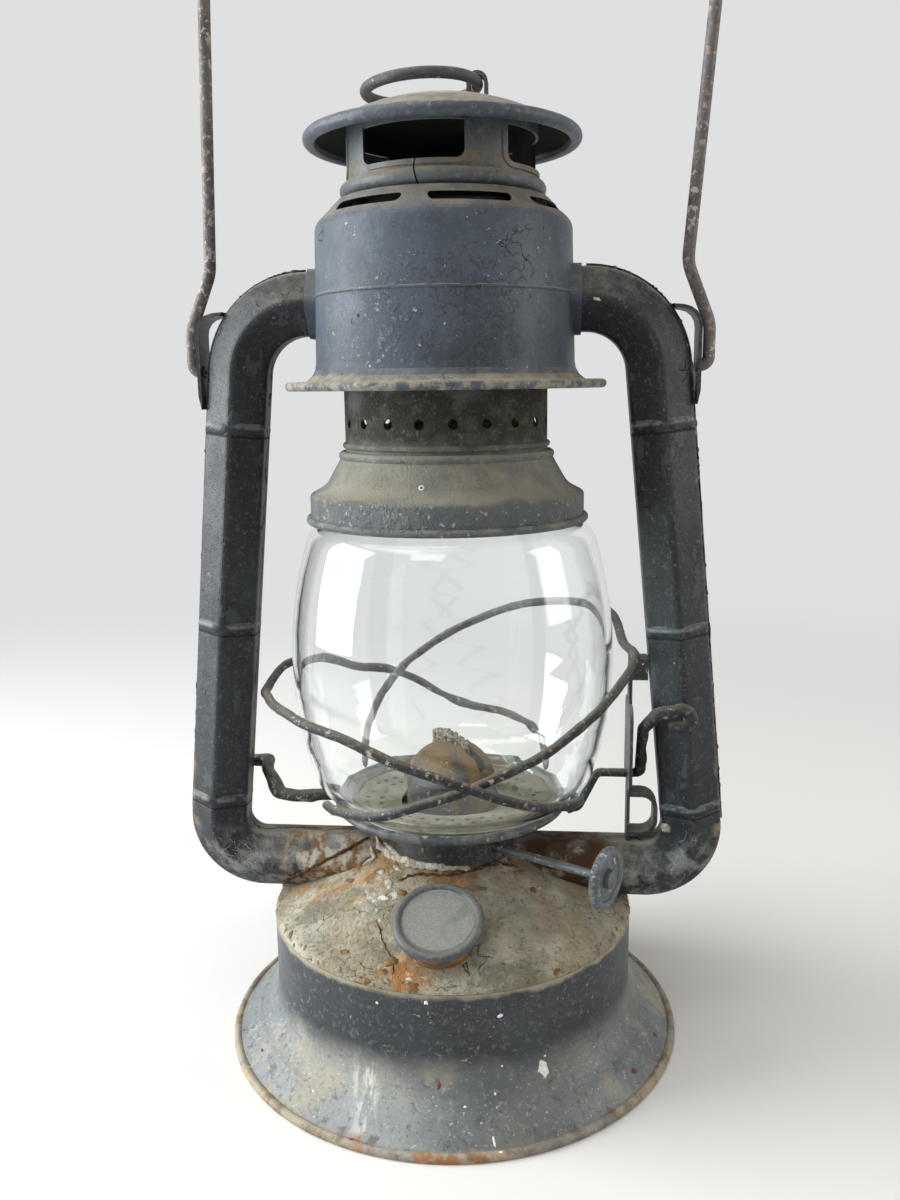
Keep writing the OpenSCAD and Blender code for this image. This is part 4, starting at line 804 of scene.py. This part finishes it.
def thickWire(node, body, look, seed, start=-1.0):
    made = piece(node + "_thick", nodes[node].data.copy(), "wirePaint", body, node)
    cells = made.modifiers.new("cells", "REMESH")
    cells.mode, cells.voxel_size = "VOXEL", look["cell"]
    soft = made.modifiers.new("soft", "SMOOTH")
    soft.factor, soft.iterations = 0.5, look["smooth"]
    lumpy(made, look, seed, start)


roundWire("guard_wire_a", "carrier", 1.7)
roundWire("guard_wire_b", "carrier", 5.3)
thickWire("left_guide", "carrier", guideLook, 2.9)
thickWire("lift_crank", "crank", crankLook, 4.1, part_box("lift_bracket")[0].x + taper)
print("wires rounded")

# chimney spring: a coiled wire cut in two, the upper part riding the frame, the lower part left unattached
springLook = dict(turns=6, wire=1.8 * mm, steps=36, sides=10, fixed=0.30404, split=0.279, lift=16.6 * mm)


def makeSpring():
    low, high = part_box("chimney_spring")
    wire = springLook["wire"]
    r = (high.x - low.x) / 2 - wire / 2
    count = springLook["turns"] * springLook["steps"]
    points = []
    for i in range(count + 1):
        t = i / count
        a = 2 * pi * springLook["turns"] * t
        points.append(Vector((r * cos(a), r * sin(a), low.z + wire / 2 + (high.z - low.z - wire) * t)))
    cut = min(range(count), key=lambda i: abs(points[i].z - springLook["split"]))
    for name, line, body in (("spring_upper", points[cut:], "frame"),
                             ("spring_lower", points[:cut + 1], None)):
        verts, faces = [], []
        tubeAlong(line, wire / 2, springLook["sides"], verts, faces)
        made = solid(name, verts, faces, "springSteelAndShade", body, "chimney_spring")
        if body:
            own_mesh(made)
        else:
            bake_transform(made)


# wick: a flat woven tape, charred and beaded along its top
wickLook = dict(seed=11, turn=-30, cords=9, rows=60, burnt=7.0 * mm, thin=0.45, slump=2.6 * mm,
    short=1.6 * mm, knot=0.05, inset=(0.985, 0.95), beads=(9, 3), charred=4, bead=(0.72 * mm, 1.02 * mm),
    gap=1.5, puff=0.65 * mm, lump=0.35, lumpScale=1600)


def makeWick():
    rand = random.Random(wickLook["seed"])
    low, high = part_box("wick")
    turn = radians(wickLook["turn"])
    along, across = Vector((cos(turn), sin(turn), 0)), Vector((-sin(turn), cos(turn), 0))
    spread = [(v.co.dot(along), v.co.dot(across)) for v in nodes["wick"].data.vertices]
    w, t = max(s[0] for s in spread), max(s[1] for s in spread)

    def slump(a):  # the charred top falls away to one side
        return wickLook["slump"] * max(0.0, (a / w + 0.25) / 1.25) ** 1.6

    outline, cords = [], wickLook["cords"]
    for side in (1, -1):
        for i in range(cords * 4 + 1):
            s = i / (cords * 4)
            rib = abs(sin(pi * cords * s)) ** 0.7
            end = sqrt(max(0.0, 1 - abs(2 * s - 1) ** 6))
            outline.append((side * w * (2 * s - 1), side * -t * (0.72 + 0.26 * rib) * (0.35 + 0.65 * end)))
    verts, faces, count, rows = [], [], len(outline), wickLook["rows"]
    for j in range(rows + 1):
        for k, (a, c) in enumerate(outline):
            z = low.z + (high.z - wickLook["short"] - slump(a) - low.z) * j / rows
            knot = 1 + wickLook["knot"] * sin(j * 2.1 + (k // 4) * pi)
            if high.z - slump(a) - z < wickLook["burnt"]:
                knot *= wickLook["thin"]
            wide, deep = wickLook["inset"]
            verts.append(along * (a * wide) + across * (c * knot * deep) + Vector((0, 0, z)))
    skin(0, rows, count, faces)
    faces.append(list(reversed(range(count))))
    faces.append([rows * count + k for k in range(count)])
    solid("wick_tape", verts, faces, "wickCloth", "wick", "wick")
    form = bmesh.new()
    long, deep = wickLook["beads"]
    grid = [(i, k, row) for i in range(long) for k in range(deep) for row in range(wickLook["charred"])]
    for i, k, row in grid:
        if row == 0 or k != 1:
            r = rand.uniform(*wickLook["bead"]) * (1 if k != 1 else 1.2)
            a = w * (2 * (i + rand.uniform(0.3, 0.7)) / long - 1) * 0.94
            c = (k - 1) * (t + wickLook["puff"] - r)
            top = high.z - r * 1.1 - slump(a) - (row * wickLook["gap"] + rand.uniform(0, 0.6)) * mm
            spot = along * a + across * c + Vector((0, 0, top))
            bead = bmesh.ops.create_icosphere(form, subdivisions=2, radius=r, matrix=Matrix.Translation(spot))
            for v in bead["verts"]:
                v.co += (v.co - spot) * (wickLook["lump"] * noise.noise(v.co * wickLook["lumpScale"]))
    piece("wick_beads", formed(form, "wick_beads"), "charBeads", "wick")


makeSpring()
makeWick()
print("spring and wick made")

# globe: a fine smooth turned glass in place of the coarse one
globeLook = dict(axis=1.2 * mm, rows=150, around=160, probes=64, soften=2, trim=0.03 * mm, outside=0.2)


def makeGlobe():
    low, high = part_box("globe")
    tree, centre, far = surfaceOf("globe"), globeLook["axis"], globeLook["outside"]
    rows, trim = globeLook["rows"], globeLook["trim"]
    rings = []
    for i in range(rows + 1):
        z = low.z + trim + (high.z - low.z - 2 * trim) * i / rows
        inner = outer = 0.0
        for k in range(globeLook["probes"]):
            a = 2 * pi * k / globeLook["probes"]
            way = Vector((cos(a), sin(a), 0))
            hit = tree.ray_cast(Vector((centre, 0, z)), way)
            back = tree.ray_cast(Vector((centre, 0, z)) + way * far, -way)
            if hit[0] is not None and back[0] is not None:
                inner, outer = max(inner, hit[3]), max(outer, far - back[3])
        rings.append([z, inner, outer])
    for _ in range(globeLook["soften"]):
        old = [r[:] for r in rings]
        for i in range(2, rows - 1):
            for side in (1, 2):
                rings[i][side] = (old[i - 1][side] + 2 * old[i][side] + old[i + 1][side]) / 4
    outline = [(r[2], r[0]) for r in rings] + [(r[1], r[0]) for r in reversed(rings)]
    verts, faces, count, sides = [], [], len(outline), globeLook["around"]
    for k in range(sides):
        a = 2 * pi * k / sides
        verts += [(centre + r * cos(a), r * sin(a), z) for r, z in outline]
    for k in range(sides):
        for i in range(count):
            a, b = k * count + i, k * count + (i + 1) % count
            c, d = (k + 1) % sides * count + (i + 1) % count, (k + 1) % sides * count + i
            faces.append((a, d, c, b))
    solid("globe_glass", verts, faces, "clearGlass", "carrier", "globe")


makeGlobe()
print("globe turned")

# marks that the photo shows, each on the part that carries it, at a point of the frame in pixels
shell, top, tubes = ("fount_shell",), ("fount_top",), ("left_tube_front", "right_tube_front")
collar, elbow = ("burner_collar",), ("fount_top", "left_tube_front")
joint = ("fount_top", "burner_collar", "left_tube_front")
spotLook = {  # finish, then by carrying nodes: u, v, width, height and thickness in mm, turn in degrees
    "paint_specks": ("whitePaint", {
        shell: [(543, 1068, 4.4, 6.4, 0.3, 12), (426, 1003, 1.7, 1.7, 0.25, 0),
            (465, 1107, 1.1, 1.0, 0.2, 0), (502, 1066, 0.9, 0.8, 0.2, 0), (495, 1094, 0.9, 1.1, 0.2, 0),
            (313, 1091, 1.2, 0.9, 0.2, 0), (494, 1141, 1.1, 4.2, 0.2, 4), (501, 1152, 1.4, 0.9, 0.2, 0),
            (638, 986, 1.3, 0.9, 0.2, 0), (545, 1056, 1.3, 1.0, 0.2, 0), (377, 1003, 1.4, 1.2, 0.2, 0),
            (500, 1016, 2.2, 1.7, 0.3, 30)]}),
    "rust_drops": ("redRust", {
        shell: [(439, 1085, 1.5, 2.8, 0.3, 0), (655, 1035, 2.2, 3.4, 0.2, 15),
            (634, 1071, 3.0, 2.2, 0.2, -20), (244, 1030, 1.6, 1.2, 0.2, 0), (262, 1050, 2.2, 1.2, 0.2, 10),
            (352, 1139, 3.0, 2.4, 0.2, 0)]}),
    "crust_patches": ("mineralCrust", {
        top: [(369, 861, 2.4, 6.5, 0.7, 10), (389, 884, 6.0, 3.4, 0.6, -25), (381, 872, 4.0, 2.6, 0.5, 20),
            (397, 868, 5.0, 1.8, 0.5, -10), (372, 848, 2.0, 4.0, 0.6, 5), (539, 888, 2.0, 1.5, 0.7, 0),
            (409, 979, 3.0, 1.6, 0.25, 0)],
        collar: [(423, 850, 1.2, 2.2, 0.5, 0)],
        tubes: [(665, 828, 5.0, 4.0, 0.9, 15), (597, 299, 3.4, 1.4, 0.3, -15)]}),
    "top_grit": ("rustGrit", {
        top: [(533, 890, 3.0, 2.6, 1.3, 0), (391, 962, 6.0, 4.0, 0.5, 30), (383, 972, 3.4, 2.6, 0.4, 0),
            (414, 985, 4.0, 2.0, 0.4, 0), (344, 952, 4.0, 2.4, 0.35, 15), (359, 866, 5.0, 3.0, 0.5, 40),
            (350, 880, 6.0, 2.6, 0.4, 30), (402, 893, 5.0, 3.0, 0.5, 0), (520, 872, 7.0, 2.4, 0.5, -12),
            (512, 860, 5.0, 2.0, 0.5, -20)]}),
    "leaf_flake": ("leafFlake", {
        top: [(474, 888, 12.0, 2.4, 0.5, -8), (462, 893, 4.0, 1.6, 0.5, 10),
            (573, 866, 7.0, 1.6, 0.5, -14)]}),
}
strandLook = {  # finish, then runs: nodes, radius in mm, points
    "collar_crust": ("mineralCrust", [
        (joint, 1.35, [(376, 836), (380, 846), (388, 854), (400, 860), (416, 864), (442, 868), (474, 869)]),
        (joint, 0.9, [(384, 842), (396, 854), (410, 861), (430, 865), (452, 867)]),
        (joint, 0.8, [(371, 846), (374, 858), (368, 868)])]),
    "rust_lines": ("seamRust", [
        (top, 0.55, [(398, 880), (409, 876), (424, 874), (437, 876), (468, 872), (501, 863), (522, 868)]),
        (elbow, 0.75, [(273, 888), (300, 873), (330, 858), (352, 846), (371, 836)]),
        (top, 0.28, [(377, 920), (384, 944), (394, 962), (392, 978)])]),
}
markLook = dict(spotSeed=3, strandSeed=5, step=3, stray=1, gap=6 * mm, raised=0.2, thick=(0.55, 1.25),
    sides=9)


def spots(name, finish, rows):
    rand, verts, faces = random.Random(markLook["spotSeed"]), [], []
    for names, u, v, *size, turn in [(names, *row) for names in rows for row in rows[names]]:
        place, normal, node = looked(names, u, v)
        if place is not None:
            dab(node, place, normal, size, rand, verts, faces, radians(turn))
    solid(name, verts, faces, finish)


def strands(name, finish, runs):
    rand, verts, faces = random.Random(markLook["strandSeed"]), [], []
    stray = markLook["stray"]
    for names, radius, points in runs:
        line = []
        for (u0, v0), (u1, v1) in zip(points, points[1:]):
            count = max(2, int(hypot(u1 - u0, v1 - v0) / markLook["step"]))
            for i in range(count):
                u = u0 + (u1 - u0) * (i / count) + rand.uniform(-stray, stray)
                v = v0 + (v1 - v0) * (i / count) + rand.uniform(-stray, stray)
                place, normal, _ = looked(names, u, v)
                if place is not None and (not line or (place - line[-1]).length < markLook["gap"]):
                    line.append(place + normal * (radius * mm * markLook["raised"]))
        if len(line) > 2:
            ends = [min(1, 0.35 + 0.4 * min(i, len(line) - 1 - i)) for i in range(len(line))]
            thick = [radius * mm * rand.uniform(*markLook["thick"]) * end for end in ends]
            tubeAlong(line, thick, markLook["sides"], verts, faces)
    solid(name, verts, faces, finish)


for name, (finish, rows) in spotLook.items():
    spots(name, finish, rows)
for name, (finish, runs) in strandLook.items():
    strands(name, finish, runs)
print("marks laid")

# crumbled crust along the edge of the fount top, sizes in mm
edgeLook = dict(seed=21, count=260, radius=(66.4, 69.2), size=(1.2, 4.6), flat=(0.3, 0.7),
    thick=(0.2, 0.55), shares={"crustGrit": 0.72, "rustGrit": 0.28}, above=0.2, lowest=0.044)


def makeEdgeCrust():
    rand = random.Random(edgeLook["seed"])
    for finish, share in edgeLook["shares"].items():
        verts, faces = [], []
        for i in range(int(edgeLook["count"] * share)):
            a, r = rand.uniform(0, 2 * pi), rand.uniform(*edgeLook["radius"]) * mm
            start = Vector((r * cos(a), r * sin(a), edgeLook["above"]))
            place, normal, node = onto(["fount_top", "fount_shell"], start, Vector((0, 0, -1)))
            if place is None or place.z < edgeLook["lowest"]:
                continue
            size = rand.uniform(*edgeLook["size"])
            size = (size, size * rand.uniform(*edgeLook["flat"]), rand.uniform(*edgeLook["thick"]))
            turn = a + pi / 2 + rand.uniform(-0.4, 0.4)
            dab(node, place, normal, size, rand, verts, faces, turn, 3, 9)
        solid("edge_" + finish, verts, faces, finish)


# lifted paint along the tube seams, sizes in mm, heights and reaches in metres
flakeLook = dict(seed=8, count=90, size=(1.6, 6.0), flat=(0.2, 0.45), thick=(0.18, 0.42), spread=1.6,
    beside=0.2, heights=(0.075, 0.262), above=0.3, reaches=(0.048, 0.082))


def makeSeamFlakes():
    rand, verts, faces = random.Random(flakeLook["seed"]), [], []
    for side in (-1, 1):
        names = ["left_tube_front", "left_tube_back"] if side < 0 else ["right_tube_front", "right_tube_back"]
        for i in range(flakeLook["count"]):
            y = rand.gauss(0, flakeLook["spread"]) * mm
            if i % 3:
                start = Vector((side * flakeLook["beside"], y, rand.uniform(*flakeLook["heights"])))
                way = Vector((-side, 0, 0))
            else:
                start = Vector((side * rand.uniform(*flakeLook["reaches"]), y, flakeLook["above"]))
                way = Vector((0, 0, -1))
            place, normal, node = onto(names, start, way)
            if place is None:
                continue
            size = rand.uniform(*flakeLook["size"])
            turn = (pi / 2 if i % 3 else 0) + rand.uniform(-0.3, 0.3)
            size = (size, size * rand.uniform(*flakeLook["flat"]), rand.uniform(*flakeLook["thick"]))
            dab(node, place, normal, size, rand, verts, faces, turn, 2, 9)
    solid("seam_flakes", verts, faces, "paintFlake")


# lint caught on the lower elbows, sizes in mm, the two places as ranges of pixels
lintLook = dict(seed=14, count=90, length=(1.2, 5.0), steps=7, radius=0.05, sides=5, lift=0.2, bend=0.14,
    left=((206, 262), (838, 882)), right=((672, 704), (838, 878)))


def makeLint():
    rand, verts, faces = random.Random(lintLook["seed"]), [], []
    for i in range(lintLook["count"]):
        across, down = lintLook["left"] if i % 4 else lintLook["right"]
        u, v = rand.uniform(*across), rand.uniform(*down)
        place, normal, node = looked(tubes, u, v)
        if place is None:
            continue
        heading = normal.orthogonal().normalized()
        heading.rotate(Matrix.Rotation(rand.uniform(0, 6.3), 3, normal))
        bend, line = rand.uniform(-lintLook["bend"], lintLook["bend"]), [place]
        for _ in range(lintLook["steps"]):
            heading.rotate(Matrix.Rotation(bend, 3, normal))
            stride = rand.uniform(*lintLook["length"]) / lintLook["steps"] * mm
            foot, out, _, _ = surfaceOf(node).find_nearest(line[-1] + heading * stride)
            lift = lintLook["lift"] * mm * (1 if out.dot(normal) > 0 else -1)
            line.append(foot + out * (lift * sin(len(line) * 0.4)))
        tubeAlong(line, lintLook["radius"] * mm, lintLook["sides"], verts, faces)
    solid("lint_fibres", verts, faces, "lint")


# a small ring of paint on the bell
dropLook = dict(pixel=(421.5, 488), radius=0.75 * mm, wire=0.2 * mm, raised=0.05 * mm, steps=18, sides=7)


def makePaintRing():
    place, normal, _ = looked(["chimney_bell"], *dropLook["pixel"])
    if place is None:
        return
    side = Vector((0, 0, 1)).cross(normal).normalized()
    over = normal.cross(side)
    line, verts, faces = [], [], []
    for k in range(dropLook["steps"] + 1):
        a = 2 * pi * k / dropLook["steps"]
        line.append(place + normal * dropLook["raised"]
                    + (side * cos(a) + over * sin(a)) * dropLook["radius"])
    tubeAlong(line, dropLook["wire"], dropLook["sides"], verts, faces)
    solid("paint_ring", verts, faces, "whitePaint", "chimney")


makeEdgeCrust()
makeSeamFlakes()
makeLint()
makePaintRing()
print("crust, flakes and lint made")

stageLook = dict(floor="#dedcd8", floorRough=0.85, sky=(0.74, 0.745, 0.75, 1), skyLight=0.34, radius=6.0,
    segments=96, fade=(0.22, 0.95))
lampsLook = {  # place, aim, size, watts, colour
    "windowLamp": ((-1.15, -0.1, 0.48), (0, 0, 0.16), (0.8, 1.0), 27.0, (0.92, 0.97, 1.0)),
    "sideLamp": ((1.25, -0.1, 0.55), (0, 0, 0.2), (0.5, 0.9), 6.0, (1.0, 0.97, 0.93)),
    "frontLamp": ((-0.35, -1.3, 1.25), (0, 0, 0.15), (0.7, 0.7), 5.0, (1.0, 0.99, 0.97)),
    "topLamp": ((-0.5, -0.25, 1.5), (0, 0, 0.15), (1.1, 1.1), 11.5, (1.0, 1.0, 1.0)),
}


def makeFloor():  # it fades into the sky
    form = bmesh.new()
    bmesh.ops.create_circle(form, cap_ends=True, segments=stageLook["segments"], radius=stageLook["radius"])
    mesh = formed(form, "floor")
    floor = placed("floor", mesh)
    f = Finish("floorPaper", stageLook["floor"], stageLook["floorRough"])
    mesh.materials.append(f.close())
    glow = f.add("Emission", sockets={"Color": stageLook["sky"]})
    f.blend(f.step(f.around(), *stageLook["fade"]) * f.rays(), f.plain, glow, "Material Output")


def makeSky():  # brighter to look at than as a light
    world = bpy.data.worlds.new("studio")
    bpy.context.scene.world = world
    world.use_nodes = True
    t = Tree(world.node_tree)
    lit = world.node_tree.nodes["Background"]
    t.feed(lit.inputs["Color"], stageLook["sky"])
    t.feed(lit.inputs["Strength"], stageLook["skyLight"])
    shown = t.add("Background", sockets={"Color": stageLook["sky"]})
    t.blend(t.rays(), Flow(t, lit.outputs[0]), shown, "World Output")


def makeLamps():
    for name, (place, aim, size, watts, colour) in lampsLook.items():
        lamp = bpy.data.lights.new(name, "AREA")
        lamp.shape, lamp.size, lamp.size_y = "RECTANGLE", size[0], size[1]
        lamp.energy, lamp.color = watts, colour
        holder = placed(name, lamp)
        holder.location = place
        holder.rotation_euler = (Vector(aim) - Vector(place)).to_track_quat("-Z", "Y").to_euler()


makeFloor()
makeSky()
makeLamps()
bpy.context.scene.view_settings.view_transform = "Standard"
print("floor and light set")
